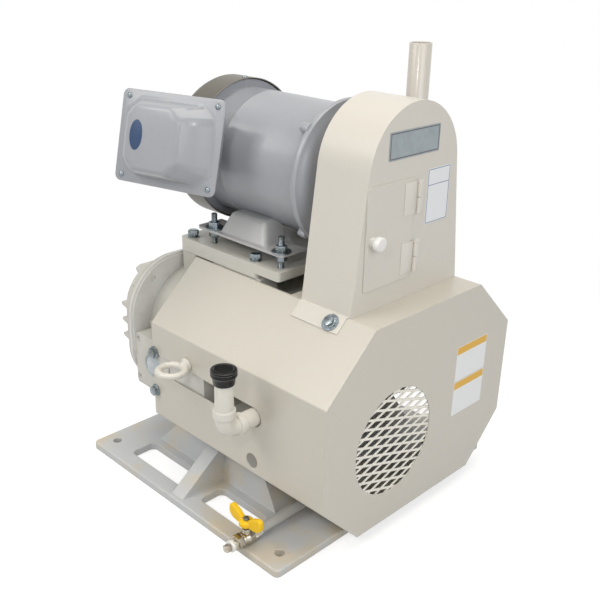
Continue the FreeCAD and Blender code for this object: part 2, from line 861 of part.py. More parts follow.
def pulley(radius, bore, y, z):
    """A grooved pulley: rim, web with round holes and hub, from one turned profile."""
    profile = [(pulley_start, radius)]
    for i in range(belt_count):
        middle = belt_plane + (i - (belt_count - 1) / 2.0) * belt_pitch
        profile += [(middle - groove_top_width / 2, radius),
                    (middle - groove_bottom_width / 2, radius - groove_depth),
                    (middle + groove_bottom_width / 2, radius - groove_depth),
                    (middle + groove_top_width / 2, radius)]
    profile.append((pulley_end, radius))
    inner = radius - pulley_rim
    if inner > pulley_hub_radius + 8:
        profile += [(pulley_end, inner), (belt_plane + pulley_web / 2, inner),
                    (belt_plane + pulley_web / 2, pulley_hub_radius), (pulley_end, pulley_hub_radius)]
    profile += [(pulley_end, bore), (pulley_start, bore)]
    if inner > pulley_hub_radius + 8:
        profile += [(pulley_start, pulley_hub_radius), (belt_plane - pulley_web / 2, pulley_hub_radius),
                    (belt_plane - pulley_web / 2, inner), (pulley_start, inner)]
    body = turned(profile, y, z)
    if inner > pulley_hub_radius + 8:
        middle = (inner + pulley_hub_radius) / 2
        hole = (inner - pulley_hub_radius) / 2 - 3
        for i in range(spoke_hole_count):
            angle = 2 * math.pi * i / spoke_hole_count
            place = V(pulley_start, y + middle * math.cos(angle), z + middle * math.sin(angle))
            body = body.cut(rod(hole, place, place + V(pulley_width, 0, 0)))
    return body


def belt_loop(x, offset):
    """A belt's closed path round both pulleys, at an offset from the pulley rims."""
    first = V(x, -shaft_half_pitch, shaft_height)
    second = V(x, 0, motor_height)
    r1 = pump_pulley_radius + offset
    r2 = motor_pulley_radius + offset
    along = second - first
    lean = math.atan2(along.y, along.z)
    spread = math.asin((r1 - r2) / along.Length)

    def rim(centre, radius, angle):
        return centre + V(0, radius * math.sin(angle), radius * math.cos(angle))

    right = lean + math.pi / 2 - spread
    left = lean - math.pi / 2 + spread
    bottom = Part.Arc(rim(first, r1, right), rim(first, r1, lean + math.pi), rim(first, r1, left))
    top = Part.Arc(rim(second, r2, left), rim(second, r2, lean), rim(second, r2, right))
    lines = [Part.makeLine(rim(first, r1, left), rim(second, r2, left)),
             Part.makeLine(rim(second, r2, right), rim(first, r1, right))]
    return Part.Wire([bottom.toShape(), lines[0], top.toShape(), lines[1]])


def belt_half_width(offset):
    """Half the belt's width at a height above the rim, so that its sides lie along the groove's."""
    slope = (groove_top_width - groove_bottom_width) / (2 * groove_depth)
    return groove_top_width / 2 - belt_side_gap + slope * offset


def v_belts():
    """Two belts of wedge section, swept along their paths in the pulley grooves."""
    belts = []
    for i in range(belt_count):
        middle = belt_plane + (i - (belt_count - 1) / 2.0) * belt_pitch
        path = belt_loop(middle, belt_proud)
        start = path.Edges[0].Vertexes[0].Point
        inward = (V(middle, -shaft_half_pitch, shaft_height) - start).normalize()
        top = AXIS_X * belt_half_width(belt_proud)
        bottom = AXIS_X * belt_half_width(belt_proud - belt_height)
        root = start + inward * belt_height
        section = Part.makePolygon([start - top, start + top, root + bottom, root - bottom, start - top])
        belts.append(path.makePipeShell([section], True, False))
    return belts


# Lower cover and grille

def cover_outline(x):
    half = [(cover_top_half, cover_top), (cover_half_width, cover_shoulder),
            (cover_half_width, cover_hip), (cover_bottom_half, cover_bottom)]
    outline = half + [(-y, z) for y, z in half[::-1]]
    return rounded_wire(across(outline, x), cover_bend)


def lower_cover():
    """An eight-sided sheet-metal cover, closed at the belt end and open at the gear end."""
    outer = Part.Face(cover_outline(cover_start)).extrude(V(cover_end - cover_start, 0, 0))
    hollow_wire = cover_outline(cover_start - 1).makeOffset2D(-sheet)
    hollow = Part.Face(hollow_wire).extrude(V(cover_end - sheet - cover_start + 1, 0, 0))
    cuts = [hollow]
    cuts.append(box((cover_start - 1, top_cut_end), (-top_cut_half, top_cut_half),
                    (cover_top - 3, cover_top + 1)))
    cuts.append(box((guard_start + 12, guard_end - 12), belt_opening_y,
                    (cover_top - 3, cover_top + 1)))
    cuts.append(box((cover_start - 1, bottom_cut_end), (-cover_half_width - 1, cover_half_width + 1),
                    (cover_bottom - 1, cover_hip - bottom_lip)))
    slot_middle = (slot_z[0] + slot_z[1]) / 2
    slot_end = (slot_z[1] - slot_z[0]) / 2
    cuts.append(box((cover_start - 1, filler_x), front_wall, slot_z))
    cuts.append(rod(slot_end, V(filler_x, front_wall[0], slot_middle),
                    V(filler_x, front_wall[1], slot_middle)))
    hole_x, hole_z, hole_radius = sight_hole
    cuts.append(rod(hole_radius, V(hole_x, front_wall[0], hole_z), V(hole_x, front_wall[1], hole_z)))
    for side in (-1, 1):
        wall = sorted((side * (cover_half_width + 1), side * (cover_inner - 1)))
        cuts.append(rod(eye_shank_radius + 3, V(eye_x, wall[0], eye_z), V(eye_x, wall[1], eye_z)))
        for z in cover_bolt_z:
            notch = M10[0] + hole_gap
            cuts.append(rod(notch, V(cover_bolt_x, wall[0], z), V(cover_bolt_x, wall[1], z)))
            cuts.append(box((cover_start - 1, cover_bolt_x), wall, (z - notch, z + notch)))
        bolt_point = bevel_point(guard_bolt_x, side, guard_bolt_drop)
        out = V(0, side * bevel_out.y, bevel_out.z)
        cuts.append(rod(M10[0] + hole_gap, bolt_point + out * 3, bolt_point - out * 3))
    cuts.append(rod(suction_flange_radius + 3, V(suction_x, land_face, suction_z),
                    V(suction_x, cover_half_width + 1, suction_z)))
    cuts.append(rod(exhaust_boss_radius + 4, V(exhaust_x, exhaust_y, cover_shoulder),
                    V(exhaust_x, exhaust_y, cover_top)))
    y, z = grille_centre
    cuts.append(rod(grille_radius, V(cover_end - 3, y, z), V(cover_end + 1, y, z)))
    return outer.cut(cuts)


def bevel_point(x, side, drop):
    """A point on a sloping shoulder of the cover, a distance down from its top bend."""
    point = V(0, cover_top_half, cover_top) + bevel * drop
    return V(x, side * point.y, point.z)


def cover_grille():
    """Expanded metal: rows of long diamonds, every other row shifted by half a diamond."""
    y0, z0 = grille_centre
    back = cover_end - sheet - face_gap - sheet
    disc = rod(grille_radius + mesh_margin + mesh_rim, V(back, y0, z0), V(back + sheet, y0, z0))
    lean = math.atan2(mesh_height, mesh_length)
    shrink = 1 - mesh_strand / (mesh_height * math.cos(lean))
    half_y = mesh_length / 2 * shrink
    half_z = mesh_height / 2 * shrink
    limit = grille_radius + mesh_margin
    rows = int(limit / (mesh_height / 2)) + 1
    columns = int(limit / (mesh_length / 2)) + 1
    diamonds = []
    for i in range(-columns, columns + 1):
        for j in range(-rows, rows + 1):
            y = i * mesh_length / 2
            z = j * mesh_height / 2
            if (i + j) % 2 or math.hypot(y, z) > limit + half_z:
                continue
            outline = across([(y0 + y - half_y, z0 + z), (y0 + y, z0 + z - half_z),
                              (y0 + y + half_y, z0 + z), (y0 + y, z0 + z + half_z)], back - 1)
            diamonds.append(prism(outline, V(sheet + 2, 0, 0)))
    clip = rod(limit, V(back - 1, y0, z0), V(back + sheet + 1, y0, z0))
    openings = Part.makeCompound(diamonds).common(clip)
    return disc.cut(openings)


def cover_bolts():
    """Flanged bolts with washers that hold the cover's open edge on both sides."""
    pieces = []
    for z in cover_bolt_z:
        seat = V(cover_bolt_x, -cover_half_width, z)
        pieces.append(ring_washer(cover_washer_radius, M10[0], cover_washer, seat, -AXIS_Y))
        pieces.append(hexagon(M10[1], M10[2], seat - AXIS_Y * cover_washer, -AXIS_Y))
    return pieces + [mirrored(piece) for piece in pieces]


# Belt guard, door and hinges

def guard_outline(x, inset):
    """Sides that lean in towards a half-round top, inset by the sheet for the inner face."""
    radius = guard_arch_radius - inset
    half = guard_half_width - inset
    rise = guard_arch_height - cover_top
    reach = math.hypot(half, rise)
    angle = math.atan2(-rise, half) + math.acos(radius / reach)
    tangent = (radius * math.cos(angle), guard_arch_height + radius * math.sin(angle))
    left = V(x, -tangent[0], tangent[1])
    right = V(x, tangent[0], tangent[1])
    arch = Part.Arc(left, V(x, 0, guard_arch_height + radius), right).toShape()
    foot_left = V(x, -half, cover_top)
    foot_right = V(x, half, cover_top)
    return Part.Wire([Part.makeLine(foot_left, left), arch, Part.makeLine(right, foot_right),
                      Part.makeLine(foot_right, foot_left)])


def guard_tab(side):
    """The ear of the guard that turns over the cover's top bend and lies on its shoulder."""
    root = guard_half_width - sheet
    low = V(0, cover_top_half, cover_top) + bevel * tab_drop
    points = []
    for rise in (face_gap, face_gap + sheet):
        corner = V(0, cover_top_half + rise * (1 - bevel_out.z) / bevel_out.y, cover_top + rise)
        points.append([V(0, root, cover_top + rise), corner, low + bevel_out * rise])
    outline = [V(guard_start, side * point.y, point.z) for point in points[0] + points[1][::-1]]
    return prism(outline, V(tab_end - guard_start, 0, 0))


def belt_guard():
    outer = Part.Face(guard_outline(guard_start, 0)).extrude(V(guard_end - guard_start, 0, 0))
    inner = Part.Face(guard_outline(guard_start + sheet, sheet))
    hollow = inner.extrude(V(guard_end - guard_start - 2 * sheet, 0, 0))
    body = outer.cut(hollow)
    body = body.fuse([guard_tab(-1), guard_tab(1)])
    cuts = [rod(motor_hole_radius, V(guard_start - 1, 0, motor_height),
                V(guard_start + sheet + 1, 0, motor_height))]
    cuts.append(box((guard_end - sheet - 1, guard_end + 1),
                    (door_y[0] + door_overlap, door_y[1] - door_overlap),
                    (door_z[0] + door_overlap, door_z[1] - door_overlap)))
    for side in (-1, 1):
        point = bevel_point(guard_bolt_x, side, guard_bolt_drop)
        out = V(0, side * bevel_out.y, bevel_out.z)
        cuts.append(rod(M10[0] + hole_gap, point + out * 4, point - out * 4))
    return body.cut(cuts)


def guard_bolts():
    pieces = []
    out = V(0, -bevel_out.y, bevel_out.z)
    seat = bevel_point(guard_bolt_x, -1, guard_bolt_drop) + out * (sheet + face_gap)
    pieces.append(ring_washer(guard_washer_radius, M10[0], guard_washer, seat, out))
    pieces.append(hexagon(M10[1], M10[2], seat + out * guard_washer, out))
    return pieces + [mirrored(piece) for piece in pieces]


def inspection_door():
    door = box((guard_end + face_gap, guard_end + face_gap + door_sheet), door_y, door_z)
    uprights = [edge for edge in door.Edges if abs(edge.tangentAt(edge.FirstParameter).x) > 0.9]
    return door.makeFillet(4.0, uprights)


def hinge_line(z):
    return V(guard_end + face_gap + door_sheet + hinge_barrel + 0.2, hinge_y, z)


def hinge_knuckle(low, high):
    start = hinge_line(low)
    return tube(hinge_barrel, hinge_pin + running_gap, start, hinge_line(high))


def door_hinge_leaves():
    """The leaves screwed to the door, each with the upper knuckle of its hinge."""
    leaves = []
    door_face = guard_end + face_gap + door_sheet
    for low in hinge_lows:
        high = low + hinge_length
        middle = low + (high - low) * knuckle_share
        leaf = box((door_face, door_face + hinge_leaf), (hinge_leaf_reach[0], door_y[1]), (low, high))
        link = box((door_face, door_face + hinge_leaf), (door_y[1], hinge_y), (middle + face_gap, high))
        knuckle = hinge_knuckle(middle + face_gap, high)
        hollow = rod(hinge_pin + running_gap, hinge_line(low), hinge_line(high))
        leaves.append(leaf.fuse([link, knuckle]).cut(hollow).removeSplitter())
    return leaves


def guard_hinge_leaves():
    """The leaves on the guard, each with the lower knuckle and the pin of its hinge."""
    leaves = []
    for low in hinge_lows:
        high = low + hinge_length
        middle = low + (high - low) * knuckle_share
        leaf = box((guard_end, guard_end + hinge_leaf), (hinge_y + hinge_barrel + 0.6, hinge_leaf_reach[1]),
                   (low, high))
        link = box((guard_end, guard_end + hinge_leaf * 2), (hinge_y, hinge_y + hinge_barrel + 1.6),
                   (low, middle - face_gap))
        web = box((guard_end, hinge_line(0).x), (hinge_y, hinge_y + hinge_leaf * 2), (low, middle - face_gap))
        knuckle = rod(hinge_barrel, hinge_line(low), hinge_line(middle - face_gap))
        pin = rod(hinge_pin, hinge_line(low), hinge_line(high))
        leaves.append(leaf.fuse([link, web, knuckle, pin]).removeSplitter())
    return leaves


def door_knob():
    """A round pull knob on a short neck."""
    y, z = knob_place
    face = guard_end + face_gap + door_sheet
    profile = [(face, 0), (face, knob_radius * 0.75), (face + 5, knob_radius * 0.7),
               (face + 7, knob_radius), (face + knob_reach - 4, knob_radius),
               (face + knob_reach, knob_radius * 0.7), (face + knob_reach, 0)]
    return turned(profile, y, z)


# Motor

def motor_point(x, angle, radius):
    return V(x, radius * math.cos(math.radians(angle)), motor_height + radius * math.sin(math.radians(angle)))


def motor_frame():
    return tube(motor_frame_radius, motor_frame_radius - motor_frame_wall,
                V(motor_frame_start, 0, motor_height), V(motor_frame_end, 0, motor_height))


def motor_drive_bracket():
    """The belt-side end shield: a stepped ring, a shallow dish and a bearing hub."""
    start = motor_frame_end
    dish = start + drive_bracket_depth
    profile = [(start, drive_ring_radius - 3), (start + 3, drive_ring_radius),
               (start + drive_ring - 3, drive_ring_radius), (start + drive_ring, drive_ring_radius - 3),
               (start + drive_ring + 6, drive_ring_radius - 16), (dish - 12, 64), (dish, 52),
               (dish, motor_shaft_radius + 2), (dish - 6, motor_shaft_radius + 2),
               (dish - 6, motor_bearing_radius + fit_gap),
               (dish - 6 - motor_bearing_width, motor_bearing_radius + fit_gap),
               (dish - 6 - motor_bearing_width, motor_bearing_radius + 8),
               (start + 12, bracket_mouth), (start, bracket_mouth)]
    return turned(profile, 0, motor_height)


def motor_fan_bracket():
    """The fan-side end shield, inside the cowl, with the seats for the cowl's screws."""
    start = motor_frame_start
    hub = start - fan_hub_depth
    ring = cowl_radius - cowl_sheet - 1.5
    profile = [(start, bracket_mouth), (start, motor_frame_radius),
               (start - 2, motor_frame_radius), (start - 2, ring),
               (start - fan_ring_depth, ring), (start - fan_ring_depth, motor_frame_radius - 8), (hub, 60),
               (hub, motor_shaft_radius + 2), (hub + 4, motor_shaft_radius + 2),
               (hub + 4, motor_bearing_radius + fit_gap),
               (hub + 4 + motor_bearing_width, motor_bearing_radius + fit_gap),
               (hub + 4 + motor_bearing_width, motor_bearing_radius + 8)]
    body = turned(profile, 0, motor_height)
    seats = []
    for angle in (90, 210, 330):
        inner = motor_point(start - fan_ring_depth / 2, angle, motor_frame_radius - 6)
        outer = motor_point(start - fan_ring_depth / 2, angle, cowl_radius - cowl_sheet - face_gap)
        seats.append(rod(5.0, inner, outer))
    return body.fuse(seats).removeSplitter()


def motor_bearings():
    front = motor_frame_end + drive_bracket_depth - 6 - motor_bearing_width
    rear = motor_frame_start - fan_hub_depth + 4
    return [tube(motor_bearing_radius, motor_shaft_radius + running_gap,
                 V(start, 0, motor_height), V(start + motor_bearing_width, 0, motor_height))
            for start in (front, rear)]


def motor_stator():
    return tube(motor_frame_radius - motor_frame_wall - fit_gap, motor_core_radius + air_gap,
                V(motor_core_x[0], 0, motor_height), V(motor_core_x[1], 0, motor_height))


def motor_rotor():
    shaft = rod(motor_shaft_radius, V(cowl_start + 22, 0, motor_height), V(shaft_end, 0, motor_height))
    core = rod(motor_core_radius, V(motor_core_x[0], 0, motor_height), V(motor_core_x[1], 0, motor_height))
    return shaft.fuse(core).removeSplitter()


def motor_fan():
    """A radial fan: a disc, a hub and straight paddles."""
    start = cowl_start + fan_setback
    end = start + fan_depth + fan_disc
    bore = motor_shaft_radius + fit_gap
    disc = tube(fan_radius - fan_disc_inset, bore,
                V(start + fan_depth, 0, motor_height), V(end, 0, motor_height))
    hub = tube(fan_hub_radius, bore, V(start, 0, motor_height), V(end, 0, motor_height))
    blades = []
    for i in range(fan_blades):
        blade = box((start, start + fan_depth + 1), (fan_hub_radius - 2, fan_radius),
                    (-fan_disc / 2, fan_disc / 2))
        blade.rotate(V(0, 0, 0), AXIS_X, 360.0 * i / fan_blades)
        blade.translate(V(0, 0, motor_height))
        blades.append(blade)
    return disc.fuse([hub] + blades).removeSplitter()


def motor_fan_cowl():
    """A drawn cup with a rounded rim and a ring of air slots in its end."""
    inner = cowl_radius - cowl_sheet
    soft = cowl_round * 0.3
    profile = [(cowl_end, cowl_radius), (cowl_start + cowl_round, cowl_radius),
               (cowl_start + soft, cowl_radius - soft), (cowl_start, cowl_radius - cowl_round),
               (cowl_start, 0), (cowl_start + cowl_sheet, 0), (cowl_start + cowl_sheet, inner - cowl_round),
               (cowl_start + soft + cowl_sheet * 0.6, inner - soft), (cowl_start + cowl_round, inner),
               (cowl_end, inner)]
    cup = turned(profile, 0, motor_height)
    slots = []
    for i in range(cowl_slot_count):
        slot = box((cowl_start - 1, cowl_start + cowl_sheet + 1), cowl_slot_reach,
                   (-cowl_slot_half, cowl_slot_half))
        slot.rotate(V(0, 0, 0), AXIS_X, 360.0 * i / cowl_slot_count)
        slot.translate(V(0, 0, motor_height))
        slots.append(slot)
    return cup.cut(slots)


def frustum(foot_x_span, foot_y_span, foot_z, top_x_span, top_y_span, top_z):
    """A block that tapers from one level rectangle to another."""
    wires = []
    for x, y, z in ((foot_x_span, foot_y_span, foot_z), (top_x_span, top_y_span, top_z)):
        wires.append(Part.makePolygon([V(x[0], y[0], z), V(x[1], y[0], z), V(x[1], y[1], z),
                                       V(x[0], y[1], z), V(x[0], y[0], z)]))
    return Part.makeLoft(wires, True)


def motor_foot():
    """A pressed foot: two flat lugs with a hump between them that cradles the motor frame."""
    lugs = rounded_plate(foot_flange_x, (-foot_flange_outer, -foot_flange_inner), (foot_bottom, foot_top), 14)
    outer = frustum(hump_foot_x, (-hump_outer, -foot_flange_inner), foot_bottom,
                    hump_top_x, (-hump_top_outer, -foot_flange_inner), hump_top)
    wall = foot_sheet
    hollow = frustum((hump_foot_x[0] + wall, hump_foot_x[1] - wall),
                     (-hump_outer + wall, -foot_flange_inner + 1),
                     foot_bottom - 1, (hump_top_x[0] + wall, hump_top_x[1] - wall),
                     (-hump_top_outer + wall, -foot_flange_inner + 1), hump_top - wall)
    frame = rod(motor_frame_radius + face_gap, V(foot_flange_x[0] - 1, 0, motor_height),
                V(foot_flange_x[1] + 1, 0, motor_height))
    holes = [rod(stud_radius + hole_gap, V(x, -stud_y, foot_bottom - 1), V(x, -stud_y, foot_top + 1))
             for x in stud_x]
    return lugs.fuse(outer).cut([hollow, frame] + holes).removeSplitter()


def plate_holes(xs, y, radius, low, high):
    return [rod(radius, V(x, side * y, low), V(x, side * y, high)) for x in xs for side in (-1, 1)]


def motor_mounting_plate():
    body = rounded_plate((plate_start, mounting_plate_end), (-plate_half_width, plate_half_width),
                         (mounting_plate_foot, plate_top), plate_corner)
    low = mounting_plate_foot - 1
    high = plate_top + 1
    holes = plate_holes(plate_bolt_x, plate_bolt_y, M12[0] + hole_gap, low, high)
    holes += plate_holes(stud_x, stud_y, stud_radius + hole_gap, low, high)
    return body.cut(holes)


def motor_support_plate():
    body = rounded_plate((plate_start, support_plate_end), (-plate_half_width, plate_half_width),
                         (support_plate_foot, mounting_plate_foot), plate_corner)
    low = support_plate_foot - 1
    high = mounting_plate_foot + 1
    holes = plate_holes(plate_bolt_x, plate_bolt_y, M12[0] + hole_gap, low, high)
    holes += plate_holes(stud_x[:1], stud_y, stud_radius + hole_gap, low, high)
    return body.cut(holes)


def plate_bolts():
    """Bolts that clamp both plates to the casing rails, each on a plain and a spring washer."""
    pieces = []
    length = mounting_plate + support_plate + 18 + bolt_washers
    for x in plate_bolt_x:
        for side in (-1, 1):
            seat = V(x, side * plate_bolt_y, plate_top)
            pieces.append(bolt(M12, seat + AXIS_Z * bolt_washers, AXIS_Z, length))
            half = bolt_washers / 2
            pieces.append(ring_washer(plain_washer_radius, M12[0], half, seat, AXIS_Z))
            pieces.append(ring_washer(spring_washer_radius, M12[0], half, seat + AXIS_Z * half, AXIS_Z))
    return pieces


def motor_studs():
    """Long bolts up through the plates; the motor feet hang between their nuts."""
    seats = (support_plate_foot, mounting_plate_foot)
    studs = []
    for x, seat in zip(stud_x, seats):
        for side in (-1, 1):
            place = V(x, side * stud_y, seat)
            studs.append(ring_washer(plain_washer_radius, M12[0], stud_washer, place, -AXIS_Z))
            studs.append(bolt(M12, place - AXIS_Z * stud_washer, -AXIS_Z, stud_top - seat + stud_washer))
    return studs


def stud_nuts():
    """A nut and a large washer above each lug, a washer and a nut below it, and a nut on the plate."""
    pieces = []
    for x in stud_x:
        for side in (-1, 1):
            axis = V(x, side * stud_y, 0)
            bore = rod(stud_radius + fit_gap, axis + V(0, 0, plate_top - 1), axis + V(0, 0, stud_top + 1))
            upper = hexagon(M12[1], nut_height, axis + V(0, 0, foot_top + washer), AXIS_Z)
            lower = hexagon(M12[1], nut_height, axis + V(0, 0, foot_bottom - lug_washer - nut_height), AXIS_Z)
            pieces.append(upper.cut(bore))
            pieces.append(lower.cut(bore))
            pieces.append(ring_washer(washer_radius, stud_radius + fit_gap, washer,
                                      axis + V(0, 0, foot_top), AXIS_Z))
            pieces.append(ring_washer(lug_washer_radius, stud_radius + fit_gap, lug_washer,
                                      axis + V(0, 0, foot_bottom - lug_washer), AXIS_Z))
    return pieces


# Terminal box, drawn in its own frame: outward is -Y, with the lid's face at Y = 0

def set_on_motor(shape):
    """Turn a terminal-box piece to its yaw and tilt and move it to the side of the motor."""
    turn = FreeCAD.Rotation(AXIS_Z, box_yaw).multiply(FreeCAD.Rotation(AXIS_X, -box_tilt))
    shape = shape.copy()
    shape.Placement = FreeCAD.Placement(V(*box_centre), turn).multiply(shape.Placement)
    return shape


def upright_wire(half_width, half_height, radius, y):
    corners = [V(-half_width, y, -half_height), V(half_width, y, -half_height),
               V(half_width, y, half_height), V(-half_width, y, half_height)]
    return rounded_wire(corners, radius)


def upright_block(half_width, half_height, radius, y0, y1):
    return Part.Face(upright_wire(half_width, half_height, radius, y0)).extrude(V(0, y1 - y0, 0))


def octagon_wire(size, y):
    """A rectangle with cut corners: half width, half height, and the cut along each."""
    w, h, cut_w, cut_h = size
    points = [V(w, y, h - cut_h), V(w - cut_w, y, h), V(-w + cut_w, y, h), V(-w, y, h - cut_h),
              V(-w, y, -h + cut_h), V(-w + cut_w, y, -h), V(w - cut_w, y, -h), V(w, y, -h + cut_h)]
    return Part.makePolygon(points + [points[0]])


def terminal_box_lid():
    flange = upright_block(lid_half_width, lid_half_height, lid_corner, 0, lid_sheet)
    dome = Part.makeLoft([octagon_wire(dome_foot, 0), octagon_wire(dome_crown, -dome_rise)], True)
    crown = [edge for edge in dome.Edges if edge.BoundBox.YMax < -dome_rise + 0.1]
    dome = dome.makeFillet(dome_round, crown)
    thin = lid_sheet
    foot = (dome_foot[0] - thin, dome_foot[1] - thin, dome_foot[2], dome_foot[3])
    top = (dome_crown[0] - 3 * thin, dome_crown[1] - 3 * thin, dome_crown[2] - thin, dome_crown[3] - thin)
    hollow = Part.makeLoft([octagon_wire(foot, lid_sheet + 0.1), octagon_wire(top, -dome_rise + thin)], True)
    body = flange.fuse(dome).cut(hollow)
    return set_on_motor(body.removeSplitter())


def terminal_box_body():
    """The open box behind the lid, with a neck cut to the round of the motor frame."""
    front = lid_sheet
    back = front + box_depth
    shell = upright_block(box_half_width, box_half_height, lid_corner - 3, front, back)
    shell = shell.cut(upright_block(box_half_width - box_wall, box_half_height - box_wall, lid_corner - 6,
                                    front - 1, back - box_wall))
    neck = upright_block(neck_half_width, neck_half_height, 10, back, back + neck_reach)
    body = set_on_motor(shell.fuse(neck).removeSplitter())
    frame = rod(motor_frame_radius + face_gap, V(motor_frame_start - 60, 0, motor_height),
                V(motor_frame_end, 0, motor_height))
    cowl = rod(cowl_radius + face_gap, V(cowl_start - 20, 0, motor_height),
               V(cowl_end + face_gap, 0, motor_height))
    return body.cut([frame, cowl])


def terminal_block():
    """A moulded block with six studs on the back wall of the box."""
    back = lid_sheet + box_depth - box_wall
    half_x, half_z = terminal_block_half
    front = back - terminal_block_depth
    pieces = [box((-half_x, half_x), (front, back), (-half_z, half_z))]
    for i in range(3):
        for side in (-1, 1):
            foot = V((i - 1) * terminal_pitch[0], front, side * terminal_pitch[1])
            pieces.append(rod(terminal_stud[0], foot, foot - AXIS_Y * terminal_stud[1]))
    return [set_on_motor(pieces[0].fuse(pieces[1:]).removeSplitter())]


def terminal_lid_screws():
    screws = []
    x, z = lid_screw
    for side in (-1, 1):
        for level in (-1, 1):
            screws.append(set_on_motor(rod(5.2, V(side * x, 0, level * z), V(side * x, -3.4, level * z))))
    return screws


# Oil gauge, lifting eyes and filler

def oil_gauge_block():
    body = box(block_x, (-block_face, -land_face), block_z)
    corners = [edge for edge in body.Edges if edge.BoundBox.XLength < 0.01 and edge.BoundBox.ZLength < 0.01
               and edge.BoundBox.XMax < block_x[0] + 0.01]
    body = body.makeFillet(8.0, corners)
    outer = glass_radius + gauge_ring
    pocket = rod(outer + fit_gap, V(gauge_x, -block_face - 1, gauge_z),
                 V(gauge_x, -block_face + gauge_depth, gauge_z))
    screws = [rod(7.0, V(block_screw_x, -block_face - 1, z), V(block_screw_x, -block_face + 6, z))
              for z in block_screw_z]
    holes = [rod(M10[0] + hole_gap, V(cover_bolt_x, -block_face - 1, z), V(cover_bolt_x, -block_face + 20, z))
             for z in cover_bolt_z]
    return body.cut([pocket] + screws + holes)


def sight_glass():
    return rod(glass_radius, V(gauge_x, -block_face - 0.3, gauge_z),
               V(gauge_x, -block_face + gauge_depth, gauge_z))


def sight_glass_ring():
    return tube(glass_radius + gauge_ring, glass_radius + fit_gap,
                V(gauge_x, -block_face - 0.8, gauge_z), V(gauge_x, -block_face + gauge_depth, gauge_z))


def gauge_block_screws():
    """Socket screws sunk in the block's counterbores."""
    screws = []
    for z in block_screw_z:
        head = rod(6.5, V(block_screw_x, -block_face + 0.5, z), V(block_screw_x, -block_face + 6, z))
        socket = hexagon(6.0, 4.0, V(block_screw_x, -block_face + 4, z), -AXIS_Y)
        screws.append(head.cut(socket))
    return screws


def lifting_eye():
    """A forged eye: ring, neck, collar on the cover and a shank in the casing."""
    seat = -pad_face
    collar_end = -cover_half_width - eye_collar
    centre = collar_end - eye_neck - eye_ring_radius
    ring = Part.makeTorus(eye_ring_radius, eye_bar, V(eye_x, centre, eye_z), AXIS_Z)
    neck = rod(eye_bar + 1.5, V(eye_x, collar_end + 1, eye_z), V(eye_x, centre + eye_ring_radius - 2, eye_z))
    collar = rod(eye_collar_radius, V(eye_x, -cover_half_width - face_gap, eye_z),
                 V(eye_x, collar_end, eye_z))
    shank = rod(eye_shank_radius, V(eye_x, collar_end + 1, eye_z), V(eye_x, seat + eye_shank - 2, eye_z))
    return ring.fuse([neck, collar, shank]).removeSplitter()


def quarter_bend(centre, turn_radius, tube_radius, start, axis):
    """A quarter of a torus: a round section swung 90 degrees about an axis through the centre."""
    along = axis.cross(start - centre).normalize()
    disc = Part.Face(Part.Wire(Part.makeCircle(tube_radius, start, along)))
    return disc.revolve(centre, axis, 90)


def filler_shape(radius):
    """The elbow's outside or its bore, by radius: along -Y, round the bend and up."""
    turn = filler_turn_radius
    start = V(filler_x, -filler_seat, filler_z)
    bend_start = V(filler_x, filler_turn_y + turn, filler_z)
    centre = bend_start + V(0, 0, turn)
    leg = rod(radius, start, bend_start)
    bend = quarter_bend(centre, turn, radius, bend_start, -AXIS_X)
    rise = rod(radius, V(filler_x, filler_turn_y, filler_z + turn),
               V(filler_x, filler_turn_y, filler_collar_top))
    return leg.fuse([bend, rise])


def oil_filler_elbow():
    body = filler_shape(filler_pipe_radius)
    collar = rod(filler_collar_radius, V(filler_x, filler_turn_y, filler_collar_top - filler_collar),
                 V(filler_x, filler_turn_y, filler_collar_top))
    socket = rod(filler_pipe_radius - 0.3 + fit_gap,
                 V(filler_x, filler_turn_y, filler_collar_top - filler_nipple_foot),
                 V(filler_x, filler_turn_y, filler_collar_top + 1))
    return body.fuse(collar).cut([filler_shape(filler_bore), socket]).removeSplitter()


def oil_filler_nipple():
    return tube(filler_pipe_radius - 0.3, filler_bore,
                V(filler_x, filler_turn_y, filler_collar_top - filler_nipple_foot),
                V(filler_x, filler_turn_y, filler_nipple_top))


def oil_filler_cap():
    """A screw cap whose skirt hangs over the nipple."""
    body = rod(cap_radius, V(filler_x, filler_turn_y, cap_foot), V(filler_x, filler_turn_y, cap_top))
    bore = rod(filler_pipe_radius - 0.3 + moving_gap, V(filler_x, filler_turn_y, cap_foot - 1),
               V(filler_x, filler_turn_y, filler_nipple_top + face_gap))
    rims = [edge for edge in body.Edges if edge.BoundBox.ZMin > cap_top - 0.01]
    return body.makeFillet(3.0, rims).cut(bore)


# Drain line

def drain_line(radius, extra):
    """The drain pipe's outside or bore: down from the oil case, round a bend and out to the front."""
    turn = drain_turn_radius
    top = V(drain_x, drain_drop_y, drain_boss_z[0] + drain_pipe_bite + extra)
    bend_start = V(drain_x, drain_drop_y, drain_z + turn)
    centre = bend_start - V(0, turn, 0)
    drop = rod(radius, top, bend_start)
    bend = quarter_bend(centre, turn, radius, bend_start, -AXIS_X)
    run = rod(radius, V(drain_x, drain_drop_y - turn, drain_z), V(drain_x, valve_start - 10 - extra, drain_z))
    return drop.fuse([bend, run])


def drain_pipe():
    return drain_line(drain_radius, 0).cut(drain_line(drain_bore, 1)).removeSplitter()


def valve_axis(y):
    return V(drain_x, y, drain_z)


